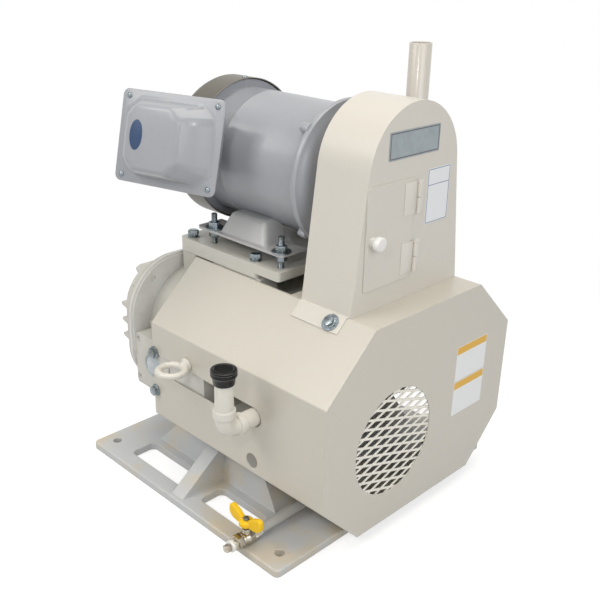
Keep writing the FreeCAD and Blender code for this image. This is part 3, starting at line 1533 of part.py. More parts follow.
def drain_valve_body():
    """A ball-valve body: hexagon ends, a round middle and the gland neck for the stem."""
    end = valve_start - valve_length
    middle = valve_start - valve_length / 2
    grip = 13.0
    body = rod(valve_body_radius - 1.2, valve_axis(valve_start), valve_axis(end))
    hexes = [hexagon(valve_flats, grip, valve_axis(valve_start), -AXIS_Y),
             hexagon(valve_flats, grip, valve_axis(end + grip), -AXIS_Y)]
    neck = rod(valve_neck_radius, valve_axis(middle), V(drain_x, middle, valve_neck_top))
    cuts = [rod(valve_port, valve_axis(valve_start + 1), valve_axis(end - 1)),
            Part.makeSphere(valve_ball_radius + moving_gap, valve_axis(middle)),
            rod(drain_radius + fit_gap, valve_axis(valve_start + 1), valve_axis(valve_start - 10 - face_gap)),
            rod(drain_radius + fit_gap, valve_axis(end - 1), valve_axis(end + 8)),
            rod(stem_radius + running_gap, valve_axis(middle), V(drain_x, middle, valve_neck_top + 1))]
    return body.fuse(hexes + [neck]).cut(cuts).removeSplitter()


def drain_valve_ball():
    """The ball with its port, closed across the pipe, and the stem up to the handle."""
    middle = valve_start - valve_length / 2
    ball = Part.makeSphere(valve_ball_radius, valve_axis(middle))
    ball = ball.cut(rod(valve_port, valve_axis(middle) - AXIS_X * 20, valve_axis(middle) + AXIS_X * 20))
    stem = rod(stem_radius, valve_axis(middle) + AXIS_Z * (valve_port + 1.5),
               V(drain_x, middle, handle_foot + handle_hub))
    return ball.fuse(stem).removeSplitter()


def drain_valve_handle():
    """A butterfly handle: a round hub with two upright wings."""
    middle = valve_start - valve_length / 2
    top = handle_foot + handle_hub
    hub = rod(handle_hub_radius, V(drain_x, middle, handle_foot), V(drain_x, middle, top))
    wings = []
    for side in (-1, 1):
        root = side * (handle_hub_radius - 3)
        tip = side * wing_reach
        outline = [V(root, 0, 0), V(tip * 0.75, 0, 2), V(tip, 0, 8), V(tip, 0, wing_height),
                   V(tip * 0.6, 0, wing_height - 3), V(root, 0, handle_hub)]
        wing = prism([V(drain_x, middle - wing_sheet / 2, handle_foot) + point for point in outline],
                     V(0, wing_sheet, 0))
        wings.append(wing)
    stem_hole = rod(stem_radius + fit_gap, V(drain_x, middle, handle_foot - 1), V(drain_x, middle, top + 1))
    return hub.fuse(wings).cut(stem_hole).removeSplitter()


def drain_plug():
    """A square-headed plug behind a hexagon bush in the valve's outlet."""
    end = valve_start - valve_length
    shank = rod(drain_radius - 0.2, valve_axis(end + 7), valve_axis(end))
    bush = hexagon(plug_hex, plug_bush, valve_axis(end), -AXIS_Y)
    half = plug_square / 2
    tip = end - plug_bush - plug_length
    head = box((drain_x - half, drain_x + half), (tip, end - plug_bush), (drain_z - half, drain_z + half))
    return shank.fuse([bush, head]).removeSplitter()


# Pipes

def exhaust_pipe():
    foot = exhaust_boss_top - exhaust_socket
    return tube(exhaust_radius, exhaust_radius - exhaust_wall, V(exhaust_x, exhaust_y, foot),
                V(exhaust_x, exhaust_y, exhaust_top))


def suction_flange_plate():
    """A round companion flange on the rear port, with four bolt holes."""
    start = V(suction_x, pad_face, suction_z)
    end = V(suction_x, pad_face + suction_flange, suction_z)
    body = tube(suction_flange_radius, suction_bore, start, end)
    holes = []
    for i in range(4):
        angle = math.radians(45 + 90 * i)
        shift = V(suction_bolt_circle * math.cos(angle), 0, suction_bolt_circle * math.sin(angle))
        holes.append(rod(5.5, start + shift - AXIS_Y, end + shift + AXIS_Y))
    return body.cut(holes)


os.makedirs("parts", exist_ok=True)

save("base_casting", base_casting())
save("pump_casing", pump_casing())
save("pump_foot_bolts", foot_bolts())
save("gear_end_plate", gear_end_plate())
save("gear_cover", gear_cover())
save("gear_cover_bolts", gear_cover_bolts())
save("drive_end_plate", drive_end_plate())
save("drive_end_case", drive_end_case())
save("drive_end_bolts", drive_end_bolts())
save("pump_bearings", pump_bearings())
save("shaft_seal", shaft_seal())
save("drive_rotor", rotor(-shaft_half_pitch, 90.0, shaft_end))
save("driven_rotor", rotor(shaft_half_pitch, 0.0, drive_case_start + 2))
save("drive_gear", timing_gear(-shaft_half_pitch, 0.0))
save("driven_gear", timing_gear(shaft_half_pitch, 180.0 / gear_teeth))
save("pump_pulley", pulley(pump_pulley_radius, pulley_seat_radius + fit_gap, -shaft_half_pitch, shaft_height))
save("motor_pulley", pulley(motor_pulley_radius, motor_shaft_radius + fit_gap, 0, motor_height))
save("v_belts", v_belts())
save("lower_cover", lower_cover())
save("cover_grille", cover_grille())
save("cover_bolts", cover_bolts())
save("belt_guard", belt_guard())
save("guard_bolts", guard_bolts())
save("inspection_door", inspection_door())
save("door_hinge_leaves", door_hinge_leaves())
save("guard_hinge_leaves", guard_hinge_leaves())
save("door_knob", door_knob())
save("motor_frame", motor_frame())
save("motor_drive_bracket", motor_drive_bracket())
save("motor_fan_bracket", motor_fan_bracket())
save("motor_bearings", motor_bearings())
save("motor_stator", motor_stator())
save("motor_rotor", motor_rotor())
save("motor_fan", motor_fan())
save("motor_fan_cowl", motor_fan_cowl())
save("motor_feet", both_sides(motor_foot()))
save("motor_mounting_plate", motor_mounting_plate())
save("motor_support_plate", motor_support_plate())
save("plate_bolts", plate_bolts())
save("motor_studs", motor_studs())
save("stud_nuts", stud_nuts())
save("terminal_box", terminal_box_body())
save("terminal_box_lid", terminal_box_lid())
save("terminal_block", terminal_block())
save("terminal_lid_screws", terminal_lid_screws())
save("oil_gauge_block", oil_gauge_block())
save("sight_glass", sight_glass())
save("sight_glass_ring", sight_glass_ring())
save("gauge_block_screws", gauge_block_screws())
save("lifting_eyes", both_sides(lifting_eye()))
save("oil_filler_elbow", oil_filler_elbow())
save("oil_filler_nipple", oil_filler_nipple())
save("oil_filler_cap", oil_filler_cap())
save("drain_pipe", drain_pipe())
save("drain_valve_body", drain_valve_body())
save("drain_valve_ball", drain_valve_ball())
save("drain_valve_handle", drain_valve_handle())
save("drain_plug", drain_plug())
save("exhaust_pipe", exhaust_pipe())
save("suction_flange", suction_flange_plate())
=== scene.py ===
import math
import bpy
import bmesh
from mathutils import Matrix, Vector


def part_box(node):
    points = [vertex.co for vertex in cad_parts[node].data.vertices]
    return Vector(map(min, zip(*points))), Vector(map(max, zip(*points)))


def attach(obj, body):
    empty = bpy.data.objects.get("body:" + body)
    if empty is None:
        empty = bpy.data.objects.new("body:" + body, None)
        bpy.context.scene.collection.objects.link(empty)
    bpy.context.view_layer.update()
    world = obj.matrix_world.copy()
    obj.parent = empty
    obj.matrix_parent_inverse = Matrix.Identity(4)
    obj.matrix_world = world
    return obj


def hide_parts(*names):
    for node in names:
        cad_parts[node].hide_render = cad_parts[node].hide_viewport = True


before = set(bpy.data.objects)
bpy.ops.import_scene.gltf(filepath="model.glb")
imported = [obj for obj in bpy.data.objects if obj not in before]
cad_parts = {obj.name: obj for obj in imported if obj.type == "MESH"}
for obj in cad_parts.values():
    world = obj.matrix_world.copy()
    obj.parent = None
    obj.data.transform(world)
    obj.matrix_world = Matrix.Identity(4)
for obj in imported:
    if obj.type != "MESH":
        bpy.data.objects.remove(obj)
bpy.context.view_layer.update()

MM = 0.001
MIDDLE = 19.0          # the shafts' middle plane lies this far behind the origin
X, Y, Z = Vector((1, 0, 0)), Vector((0, 1, 0)), Vector((0, 0, 1))


def at(x, y, z):
    """A point given in millimetres about the machine's middle plane."""
    return Vector((x, y + MIDDLE, z)) * MM


def span(node):
    """A node's lowest and highest corners, in millimetres about the machine's middle plane."""
    low, high = ([round(value / MM, 2) for value in corner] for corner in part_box(node))
    return Vector(low) - Y * MIDDLE, Vector(high) - Y * MIDDLE


def middle(node):
    """The middle of a node's box, to a tenth of a millimetre."""
    low, high = span(node)
    return Vector([round(value, 1) for value in (low + high) / 2])


# Surface patterns shared by several materials

def socket(group, name, kind, output=False, value=None):
    """A named way into a group, or out of it."""
    made = group.interface.new_socket(name=name, in_out="OUTPUT" if output else "INPUT",
                                      socket_type="NodeSocket" + kind)
    if value is not None:
        made.default_value = value


def pattern(name, inputs, outputs):
    """An empty node group with named sockets."""
    group = bpy.data.node_groups.new(name, "ShaderNodeTree")
    for label, kind, value in inputs:
        socket(group, label, kind, value=value)
    for label, kind in outputs:
        socket(group, label, kind, output=True)
    return group, group.nodes.new("NodeGroupInput"), group.nodes.new("NodeGroupOutput")


def noise(tree, place, scale, detail=3.0, rough=0.5, stretch=None):
    """A noise value over the surface, drawn out along an axis where a stretch is given."""
    node = tree.nodes.new("ShaderNodeTexNoise")
    node.inputs["Scale"].default_value = scale
    node.inputs["Detail"].default_value = detail
    node.inputs["Roughness"].default_value = rough
    if stretch:
        squeeze = tree.nodes.new("ShaderNodeMapping")
        squeeze.inputs["Scale"].default_value = stretch
        tree.links.new(place, squeeze.inputs["Vector"])
        place = squeeze.outputs["Vector"]
    tree.links.new(place, node.inputs["Vector"])
    return node.outputs["Fac"]


def remap(tree, value, low, high, out_low=0.0, out_high=1.0):
    """A value taken from one range to another, with soft ends."""
    node = tree.nodes.new("ShaderNodeMapRange")
    node.interpolation_type = "SMOOTHSTEP"
    node.inputs["From Min"].default_value = low
    node.inputs["From Max"].default_value = high
    for label, limit in (("To Min", out_low), ("To Max", out_high)):
        if isinstance(limit, (int, float)):
            node.inputs[label].default_value = limit
        else:
            tree.links.new(limit, node.inputs[label])
    tree.links.new(value, node.inputs["Value"])
    return node.outputs["Result"]


def maths(tree, kind, *values):
    """One sum on values or plain numbers."""
    node = tree.nodes.new("ShaderNodeMath")
    node.operation = kind
    for slot, value in enumerate(values):
        if isinstance(value, (int, float)):
            node.inputs[slot].default_value = value
        else:
            tree.links.new(value, node.inputs[slot])
    return node.outputs["Value"]


def blend_colours(tree, mask, first, second):
    """The first colour turning to the second under a mask."""
    node = tree.nodes.new("ShaderNodeMix")
    node.data_type = "RGBA"
    for slot, value in ((0, mask), (6, first), (7, second)):
        if isinstance(value, (int, float, tuple)):
            node.inputs[slot].default_value = value
        else:
            tree.links.new(value, node.inputs[slot])
    return node.outputs[2]


GREY, DUST, GRIME = (0.5, 0.5, 0.5, 1), (0.25, 0.23, 0.20, 1), (0.20, 0.19, 0.17, 1)
PAINT_EDGE_HIGHLIGHT, CAST_EDGE_HIGHLIGHT = (0.86, 0.84, 0.79, 1), (0.80, 0.79, 0.75, 1)       # painted highlights: lighter paint along edges, standing in for the light that edges catch


def skin_pattern(name, second, **values):
    """A pattern that makes a skin's colour, gloss and relief out of a place and two colours."""
    inputs = [("Place", "Vector", None), ("Colour", "Color", GREY), (second, "Color", GREY)]
    return pattern(name, inputs + [(label, "Float", value) for label, value in values.items()],
                   [("Colour", "Color"), ("Roughness", "Float"), ("Height", "Float")])


def make_edge_pattern():
    """Rounded edges for square-cornered solids, and a mask of those edges."""
    tree, start, end = pattern("rounded_edges", [("Radius", "Float", 0.001)],
                               [("Normal", "Vector"), ("Edge", "Float")])
    bevel = tree.nodes.new("ShaderNodeBevel")
    bevel.samples = 6
    tree.links.new(start.outputs["Radius"], bevel.inputs["Radius"])
    face = tree.nodes.new("ShaderNodeNewGeometry")
    dot = tree.nodes.new("ShaderNodeVectorMath")
    dot.operation = "DOT_PRODUCT"
    tree.links.new(bevel.outputs["Normal"], dot.inputs[0])
    tree.links.new(face.outputs["Normal"], dot.inputs[1])
    edge = remap(tree, dot.outputs["Value"], 0.995, 0.90)
    tree.links.new(bevel.outputs["Normal"], end.inputs["Normal"])
    tree.links.new(edge, end.inputs["Edge"])
    return tree


def make_coat_pattern():
    """Sprayed paint: slight unevenness of colour and gloss, orange peel and settled dust."""
    tree, start, end = skin_pattern("paint_coat", "Shade", Unevenness=0.5, Roughness=0.35, Edge=0.0)
    place = start.outputs["Place"]
    clouds = noise(tree, place, 3.5, 0.0)
    runs = remap(tree, noise(tree, place, 60.0, 3.0, 0.6), 0.25, 0.80)
    uneven = maths(tree, "MULTIPLY", maths(tree, "ADD", clouds, maths(tree, "MULTIPLY", runs, 0.5)),
                   start.outputs["Unevenness"])
    tone = blend_colours(tree, uneven, start.outputs["Colour"], start.outputs["Shade"])
    specks = remap(tree, noise(tree, place, 640.0, 1.0, 0.5), 0.80, 0.86, 0.0, 0.20)
    tone = blend_colours(tree, specks, tone, DUST)
    # painted highlight: the edge mask lightens the paint along every edge
    tone = blend_colours(tree, maths(tree, "MULTIPLY", start.outputs["Edge"], 0.35), tone, PAINT_EDGE_HIGHLIGHT)
    gloss = maths(tree, "MULTIPLY", noise(tree, place, 9.0, 0.0), 0.06)
    peel = noise(tree, place, 750.0, 1.0)
    waves = noise(tree, place, 24.0, 1.0)
    tree.links.new(tone, end.inputs["Colour"])
    tree.links.new(maths(tree, "ADD", start.outputs["Roughness"], gloss), end.inputs["Roughness"])
    tree.links.new(maths(tree, "ADD", peel, maths(tree, "MULTIPLY", waves, 0.7)), end.inputs["Height"])
    return tree


def make_casting_pattern():
    """Sand-cast iron under paint: lumps, grains and small pits."""
    tree, start, end = skin_pattern("cast_skin", "Shade", Roughness=0.45, Edge=0.0)
    place = start.outputs["Place"]
    clouds = remap(tree, noise(tree, place, 9.0, 5.0, 0.6), 0.44, 0.68)
    grain = noise(tree, place, 260.0, 4.0, 0.65)
    lumps = noise(tree, place, 38.0, 2.0)
    pits = tree.nodes.new("ShaderNodeTexVoronoi")
    pits.inputs["Scale"].default_value = 95.0
    tree.links.new(place, pits.inputs["Vector"])
    dents = remap(tree, pits.outputs["Distance"], 0.0, 0.16)
    tone = blend_colours(tree, clouds, start.outputs["Colour"], start.outputs["Shade"])
    dirt = maths(tree, "MULTIPLY", remap(tree, grain, 0.62, 0.75), 0.30)
    tone = blend_colours(tree, dirt, tone, GRIME)
    # painted highlight: the edge mask lightens the cast paint along every edge
    tone = blend_colours(tree, maths(tree, "MULTIPLY", start.outputs["Edge"], 0.30), tone, CAST_EDGE_HIGHLIGHT)
    height = maths(tree, "ADD", maths(tree, "MULTIPLY", grain, 0.6), maths(tree, "MULTIPLY", lumps, 1.6))
    height = maths(tree, "ADD", height, maths(tree, "MULTIPLY", dents, 0.35))
    tree.links.new(tone, end.inputs["Colour"])
    tree.links.new(remap(tree, grain, 0.2, 0.8, start.outputs["Roughness"], 0.62), end.inputs["Roughness"])
    tree.links.new(height, end.inputs["Height"])
    return tree


def make_metal_pattern():
    """Bare or plated metal: tinted patches, fine scratches and handling marks."""
    tree, start, end = skin_pattern("metal_skin", "Tint", Roughness=0.25)
    place = start.outputs["Place"]
    patches = remap(tree, noise(tree, place, 55.0, 4.0, 0.6), 0.40, 0.66)
    scratches = noise(tree, place, 130.0, 3.0, 0.7, (1.0, 6.0, 6.0))
    tree.links.new(blend_colours(tree, patches, start.outputs["Colour"], start.outputs["Tint"]),
                   end.inputs["Colour"])
    spread = remap(tree, scratches, 0.35, 0.75, start.outputs["Roughness"], 0.5)
    tree.links.new(spread, end.inputs["Roughness"])
    tree.links.new(scratches, end.inputs["Height"])
    return tree


EDGES = make_edge_pattern()
COAT = make_coat_pattern()
CAST = make_casting_pattern()
METAL = make_metal_pattern()


def finish_with(name, group, values, height, edge=None, strength=1.0, **fixed):
    """A material whose colour, gloss and relief come from one pattern group."""
    material = bpy.data.materials.new(name)
    material.use_nodes = True
    tree = material.node_tree
    tree.nodes.clear()
    out = tree.nodes.new("ShaderNodeOutputMaterial")
    shader = tree.nodes.new("ShaderNodeBsdfPrincipled")
    tree.links.new(shader.outputs["BSDF"], out.inputs["Surface"])
    place = tree.nodes.new("ShaderNodeTexCoord").outputs["Object"]
    skin = tree.nodes.new("ShaderNodeGroup")
    skin.node_tree = group
    tree.links.new(place, skin.inputs["Place"])
    for label, value in values.items():
        skin.inputs[label].default_value = (*value, 1.0) if isinstance(value, tuple) else value
    bump = tree.nodes.new("ShaderNodeBump")
    bump.inputs["Strength"].default_value = strength
    bump.inputs["Distance"].default_value = height
    tree.links.new(skin.outputs["Height"], bump.inputs["Height"])
    if edge:
        rounding = tree.nodes.new("ShaderNodeGroup")
        rounding.node_tree = EDGES
        rounding.inputs["Radius"].default_value = edge
        tree.links.new(rounding.outputs["Normal"], bump.inputs["Normal"])
        if "Edge" in skin.inputs:
            tree.links.new(rounding.outputs["Edge"], skin.inputs["Edge"])
    tree.links.new(skin.outputs["Colour"], shader.inputs["Base Color"])
    tree.links.new(skin.outputs["Roughness"], shader.inputs["Roughness"])
    tree.links.new(bump.outputs["Normal"], shader.inputs["Normal"])
    for label, value in fixed.items():
        shader.inputs[label.replace("_", " ")].default_value = value
    return material


def painted(name, colour, shade, roughness=0.33, uneven=0.5, edge=0.0012, coat=0.25, haze=0.14):
    """Sprayed sheet or tube."""
    return finish_with(name, COAT, {"Colour": colour, "Shade": shade, "Roughness": roughness,
                                    "Unevenness": uneven}, 0.00006, edge,
                       Coat_Weight=coat, Coat_Roughness=haze)


def cast(name, colour, shade, roughness=0.38, edge=0.003, height=0.00045):
    """Painted cast iron."""
    return finish_with(name, CAST, {"Colour": colour, "Shade": shade, "Roughness": roughness},
                       height, edge, Coat_Weight=0.18, Coat_Roughness=0.2)


def metal(name, colour, tint, roughness=0.22, edge=0.0006):
    """Bare or plated metal."""
    return finish_with(name, METAL, {"Colour": colour, "Tint": tint, "Roughness": roughness},
                       0.00003, edge, Metallic=1.0)


def moulded(name, colour, shade, roughness=0.4, edge=0.0008, coat=0.0, mirror=0.5):
    """Plastic, rubber or a printed sheet."""
    return finish_with(name, COAT, {"Colour": colour, "Shade": shade, "Roughness": roughness,
                                    "Unevenness": 0.6}, 0.00004, edge,
                       Coat_Weight=coat, Specular_IOR_Level=mirror)


# Cover and guard carry one beige paint in two copies: the cover's is darker for painted shade, the guard's
# lighter for painted light
COVER_PAINT_SHADED = painted("cover_paint", (0.59, 0.555, 0.48), (0.565, 0.53, 0.455), 0.30, coat=0.12)
GUARD_PAINT_LIT = painted("guard_paint_lit", (0.655, 0.62, 0.55), (0.63, 0.595, 0.525), 0.30, coat=0.12)
PUMP_PAINT = cast("pump_paint", (0.60, 0.585, 0.53), (0.53, 0.51, 0.45))
BASE_PAINT = cast("base_paint", (0.55, 0.56, 0.56), (0.60, 0.53, 0.41))
PLATE_PAINT = painted("plate_paint", (0.60, 0.58, 0.52), (0.54, 0.52, 0.46), 0.34, edge=0.0015)
MOTOR_PAINT = painted("motor_paint", (0.335, 0.345, 0.37), (0.30, 0.31, 0.333), 0.32,
                      edge=0.0015, coat=0.4, haze=0.2)
COWL_PAINT = painted("cowl_paint", (0.115, 0.105, 0.082), (0.095, 0.086, 0.066), 0.36, coat=0.05)
# The feet's grey is a lighter copy of the motor's: painted light on the hump under the drum
FEET_PAINT_LIT = painted("feet_paint_lit", (0.44, 0.44, 0.435), (0.40, 0.40, 0.395), 0.28,
                     edge=0.0015, coat=0.5, haze=0.25)
FLANK_PAINT = cast("flank_paint", (0.70, 0.685, 0.65), (0.63, 0.61, 0.56))
PIPE_PAINT = painted("pipe_paint", (0.70, 0.67, 0.60), (0.63, 0.60, 0.53), 0.28, coat=0.4)
MESH_PAINT = painted("mesh_paint", (0.86, 0.82, 0.72), (0.80, 0.76, 0.66), 0.30)
# Zinc's colour is set dark: painted dark reflections, in place of a darker room around it
ZINC_DARK_REFLECTION = metal("zinc", (0.26, 0.30, 0.33), (0.16, 0.18, 0.175), 0.16)
STEEL = metal("steel", (0.52, 0.52, 0.52), (0.46, 0.455, 0.44), 0.28)
DARK_IRON = metal("pulley_iron", (0.26, 0.26, 0.27), (0.20, 0.195, 0.19), 0.42)
RUBBER = moulded("belt_rubber", (0.018, 0.018, 0.018), (0.03, 0.03, 0.028), 0.7)
BLACK = moulded("black_plastic", (0.004, 0.004, 0.005), (0.008, 0.008, 0.008), 0.24, mirror=0.25)
WHITE = moulded("knob_plastic", (0.80, 0.79, 0.75), (0.74, 0.73, 0.69), 0.25, coat=0.5)
NICKEL = metal("nickel", (0.50, 0.47, 0.41), (0.36, 0.32, 0.25), 0.15)
PLATE_METAL = metal("plate_metal", (0.33, 0.37, 0.385), (0.30, 0.34, 0.355), 0.32)
DARK_LINE = moulded("dark_line", (0.02, 0.025, 0.04), (0.03, 0.035, 0.05), 0.5)
LABEL_WHITE = moulded("label_white", (0.80, 0.81, 0.82), (0.76, 0.77, 0.78), 0.35)
LABEL_BLUE = moulded("label_blue", (0.08, 0.16, 0.30), (0.07, 0.14, 0.27), 0.4)
DRAIN_PAINT = painted("drain_paint", (0.52, 0.51, 0.48), (0.46, 0.45, 0.42), 0.32)
EXHAUST_PAINT = painted("exhaust_paint", (0.62, 0.58, 0.51), (0.57, 0.53, 0.46), 0.30, coat=0.4)
HINGE_PAINT = painted("hinge_paint", (0.70, 0.665, 0.60), (0.66, 0.625, 0.56), 0.30, edge=None)
BADGE_BLUE = moulded("badge_blue", (0.012, 0.045, 0.12), (0.02, 0.055, 0.14), 0.4)
YELLOW = moulded("handle_coat", (0.93, 0.58, 0.002), (0.88, 0.52, 0.002), 0.50)


def print_labels(material, face, labels):
    """Printed areas on a painted face that looks along X: each a colour, its centre and its half sides."""
    tree = material.node_tree
    paint = next(node for node in tree.nodes if node.type == "BSDF_PRINCIPLED").inputs["Base Color"]
    tone = paint.links[0].from_socket
    place = tree.nodes.new("ShaderNodeSeparateXYZ")
    tree.links.new(tree.nodes.new("ShaderNodeTexCoord").outputs["Object"], place.inputs["Vector"])
    on_face = maths(tree, "COMPARE", place.outputs["X"], face, MM)
    for colour, centre, half in labels:
        across = maths(tree, "COMPARE", place.outputs["Y"], (centre[0] + MIDDLE) * MM, half[0] * MM)
        up = maths(tree, "COMPARE", place.outputs["Z"], centre[1] * MM, half[1] * MM)
        inside = maths(tree, "MULTIPLY", on_face, maths(tree, "MULTIPLY", across, up))
        tone = blend_colours(tree, inside, tone, colour)
    tree.links.new(tone, paint)


def make_glass():
    """The gauge's window: a faintly cloudy face with a clear, shiny top."""
    material = bpy.data.materials.new("gauge_glass")
    material.use_nodes = True
    tree = material.node_tree
    shader = tree.nodes["Principled BSDF"]
    place = tree.nodes.new("ShaderNodeTexCoord").outputs["Object"]
    haze = noise(tree, place, 60.0, 3.0)
    tone = blend_colours(tree, remap(tree, haze, 0.4, 0.7), (0.30, 0.35, 0.38, 1), (0.42, 0.46, 0.48, 1))
    tree.links.new(tone, shader.inputs["Base Color"])
    tree.links.new(remap(tree, haze, 0.3, 0.8, 0.03, 0.12), shader.inputs["Roughness"])
    shader.inputs["Coat Weight"].default_value = 1.0
    shader.inputs["Coat Roughness"].default_value = 0.03
    return material


GLASS = make_glass()
FOIL_WHITE, FOIL_YELLOW = (0.80, 0.81, 0.80, 1), (0.74, 0.40, 0.004, 1)
print_labels(COVER_PAINT_SHADED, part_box("lower_cover")[1].x,
             [(colour, (142.5, z + lift), half) for z in (282.0, 208.0)
              for colour, lift, half in ((FOIL_WHITE, 0.0, (48.5, 36.0)), (FOIL_YELLOW, 27.5, (47.5, 7.5)))])

NODE_FINISH = {
    COVER_PAINT_SHADED: ["lower_cover"],
    GUARD_PAINT_LIT: ["belt_guard", "inspection_door", "guard_hinge_leaves", "door_hinge_leaves"],
    PUMP_PAINT: ["pump_casing", "gear_cover", "drive_end_plate", "drive_end_case",
                 "oil_gauge_block", "gauge_block_screws"],
    BASE_PAINT: ["base_casting"],
    PLATE_PAINT: ["motor_mounting_plate", "motor_support_plate"],
    MOTOR_PAINT: ["motor_frame", "motor_drive_bracket", "motor_fan_bracket", "terminal_box",
                  "terminal_box_lid"],
    FEET_PAINT_LIT: ["motor_feet"],
    FLANK_PAINT: ["gear_end_plate"],
    COWL_PAINT: ["motor_fan_cowl"],
    PIPE_PAINT: ["lifting_eyes", "oil_filler_elbow", "oil_filler_nipple", "exhaust_pipe", "suction_flange",
                 "drain_pipe"],
    MESH_PAINT: ["cover_grille"],
    ZINC_DARK_REFLECTION: ["pump_foot_bolts", "gear_cover_bolts", "drive_end_bolts", "cover_bolts", "guard_bolts",
           "plate_bolts", "motor_studs", "stud_nuts", "terminal_lid_screws", "sight_glass_ring"],
    STEEL: ["drive_rotor", "driven_rotor", "drive_gear", "driven_gear", "pump_bearings", "motor_bearings",
            "motor_rotor", "motor_stator"],
    DARK_IRON: ["pump_pulley", "motor_pulley"],
    RUBBER: ["v_belts", "shaft_seal"],
    BLACK: ["motor_fan", "oil_filler_cap", "terminal_block"],
    WHITE: ["door_knob"],
    NICKEL: ["drain_valve_body", "drain_valve_ball", "drain_plug"],
    YELLOW: ["drain_valve_handle"],
    GLASS: ["sight_glass"],
}
for material, names in NODE_FINISH.items():
    for name in names:
        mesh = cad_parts[name].data
        mesh.materials.clear()
        mesh.materials.append(material)


# Building blocks for the pieces, drawn in millimetres with their foot at the origin and their axis up Z

def stand(place, axis=Z, twist=0.0):
    """The move that sets a millimetre part on a point of the machine, along an axis."""
    along = Vector(axis).normalized()
    upright = Z if abs(along.z) < 0.9 else Y
    side = upright.cross(along).normalized()
    turn = Matrix((side, along.cross(side), along)).transposed().to_4x4()
    spin = Matrix.Rotation(math.radians(twist), 4, "Z")
    return Matrix.Translation(at(*place)) @ turn @ spin @ Matrix.Scale(MM, 4)


def add(piece, part, move):
    """Put a finished part into a piece."""
    mesh = bpy.data.meshes.new("part")
    part.to_mesh(mesh)
    part.free()
    mesh.transform(move)
    piece.from_mesh(mesh)
    bpy.data.meshes.remove(mesh)


def spun(profile, steps=96, closed=True):
    """A profile of (radius, height) points spun about Z."""
    part = bmesh.new()
    verts = [part.verts.new((radius, 0, height)) for radius, height in profile]
    ring = verts + [verts[0]] if closed else verts
    edges = [part.edges.new(pair) for pair in zip(ring, ring[1:])]
    bmesh.ops.spin(part, geom=verts + edges, cent=(0, 0, 0), axis=(0, 0, 1), angle=math.tau, steps=steps,
                   use_merge=True)
    bmesh.ops.remove_doubles(part, verts=part.verts[:], dist=0.0005)
    bmesh.ops.recalc_face_normals(part, faces=part.faces[:])
    return part


def soften(part, edges, width, segments=3):
    """Round the edges of a part."""
    bmesh.ops.bevel(part, geom=edges, offset=width, offset_type="OFFSET", segments=segments, profile=0.5,
                    affect="EDGES", material=-1, clamp_overlap=True)


def hexagon(flats, height, chamfer=0.06):
    """A hexagonal head or nut with its outer corners turned off."""
    part = bmesh.new()
    radius = flats / math.sqrt(3.0)
    bmesh.ops.create_cone(part, cap_ends=True, segments=6, radius1=radius, radius2=radius, depth=height)
    bmesh.ops.translate(part, vec=(0, 0, height / 2), verts=part.verts[:])
    rim = [edge for edge in part.edges if min(v.co.z for v in edge.verts) > height - 0.01]
    soften(part, rim, flats * chamfer, 2)
    return part


def washer(radius, bore, thickness):
    """A flat ring with broken edges."""
    edge = min(0.4, thickness / 3)
    return spun([(bore, 0), (radius - edge, 0), (radius, edge), (radius, thickness - edge),
                 (radius - edge, thickness), (bore, thickness)], 40)


def thread(radius, length, pitch=1.75, steps=20):
    """A threaded bar, with its crests as rings and its end turned to a chamfer."""
    profile = [(0, 0)]
    for turn in range(int(length / pitch)):
        profile += [(radius * 0.87, turn * pitch), (radius, (turn + 0.5) * pitch)]
    profile += [(radius * 0.87, length - 0.6), (radius * 0.7, length), (0, length)]
    return spun(profile, steps, closed=False)


def rounded_slab(width, depth, height, corner, edge):
    """A flat plate centred on Z with rounded corners and broken edges."""
    part = bmesh.new()
    bmesh.ops.create_cube(part, size=1.0)
    bmesh.ops.scale(part, vec=(width, depth, height), verts=part.verts[:])
    bmesh.ops.translate(part, vec=(0, 0, height / 2), verts=part.verts[:])
    uprights = [e for e in part.edges if abs(e.verts[0].co.z - e.verts[1].co.z) > height / 2]
    soften(part, uprights, corner, 6)
    if edge:
        rims = [e for e in part.edges if abs(e.verts[0].co.z - e.verts[1].co.z) < 0.001]
        soften(part, rims, edge, 2)
    return part


def show(name, data):
    """Put an object with this mesh, lamp or camera into the scene."""
    shown = bpy.data.objects.new(name, data)
    bpy.context.scene.collection.objects.link(shown)
    return shown


def finish(piece, name, material, nodes=(), body="root", sharp=38.0):
    """Turn a built piece into an object that rides on a body and stands for its CAD nodes."""
    mesh = bpy.data.meshes.new(name)
    piece.to_mesh(mesh)
    piece.free()
    mesh.shade_smooth()
    mesh.set_sharp_from_angle(angle=math.radians(sharp))
    mesh.materials.append(material)
    shown = show(name, mesh)
    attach(shown, body)
    if nodes:
        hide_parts(*nodes)


def grown_verts(part, faces):
    """The new corners of faces that are drawn out of a part."""
    made = bmesh.ops.extrude_face_region(part, geom=faces)["geom"]
    return [item for item in made if isinstance(item, bmesh.types.BMVert)]


# Fasteners

SCREW, FLATS, WASHER = 6.0, 19.0, 11.5        # the motor's studs and plate bolts: radius, head and washer
PLATE_TOP = span("motor_mounting_plate")[1].z
LUG_TOP = span("motor_feet")[0].z + 5.0
COVER = span("lower_cover")[1]                # the cover's highest corner


def four_places(node, reach):
    """Where a node's four fasteners stand, a washer's radius in from the ends of its box."""
    low, high = span(node)
    return [(x, y) for x in (low.x + WASHER, high.x - WASHER) for y in (-reach, reach)]


PLATE_BOLTS, STUDS = four_places("plate_bolts", 127.0), four_places("motor_studs", 119.0)


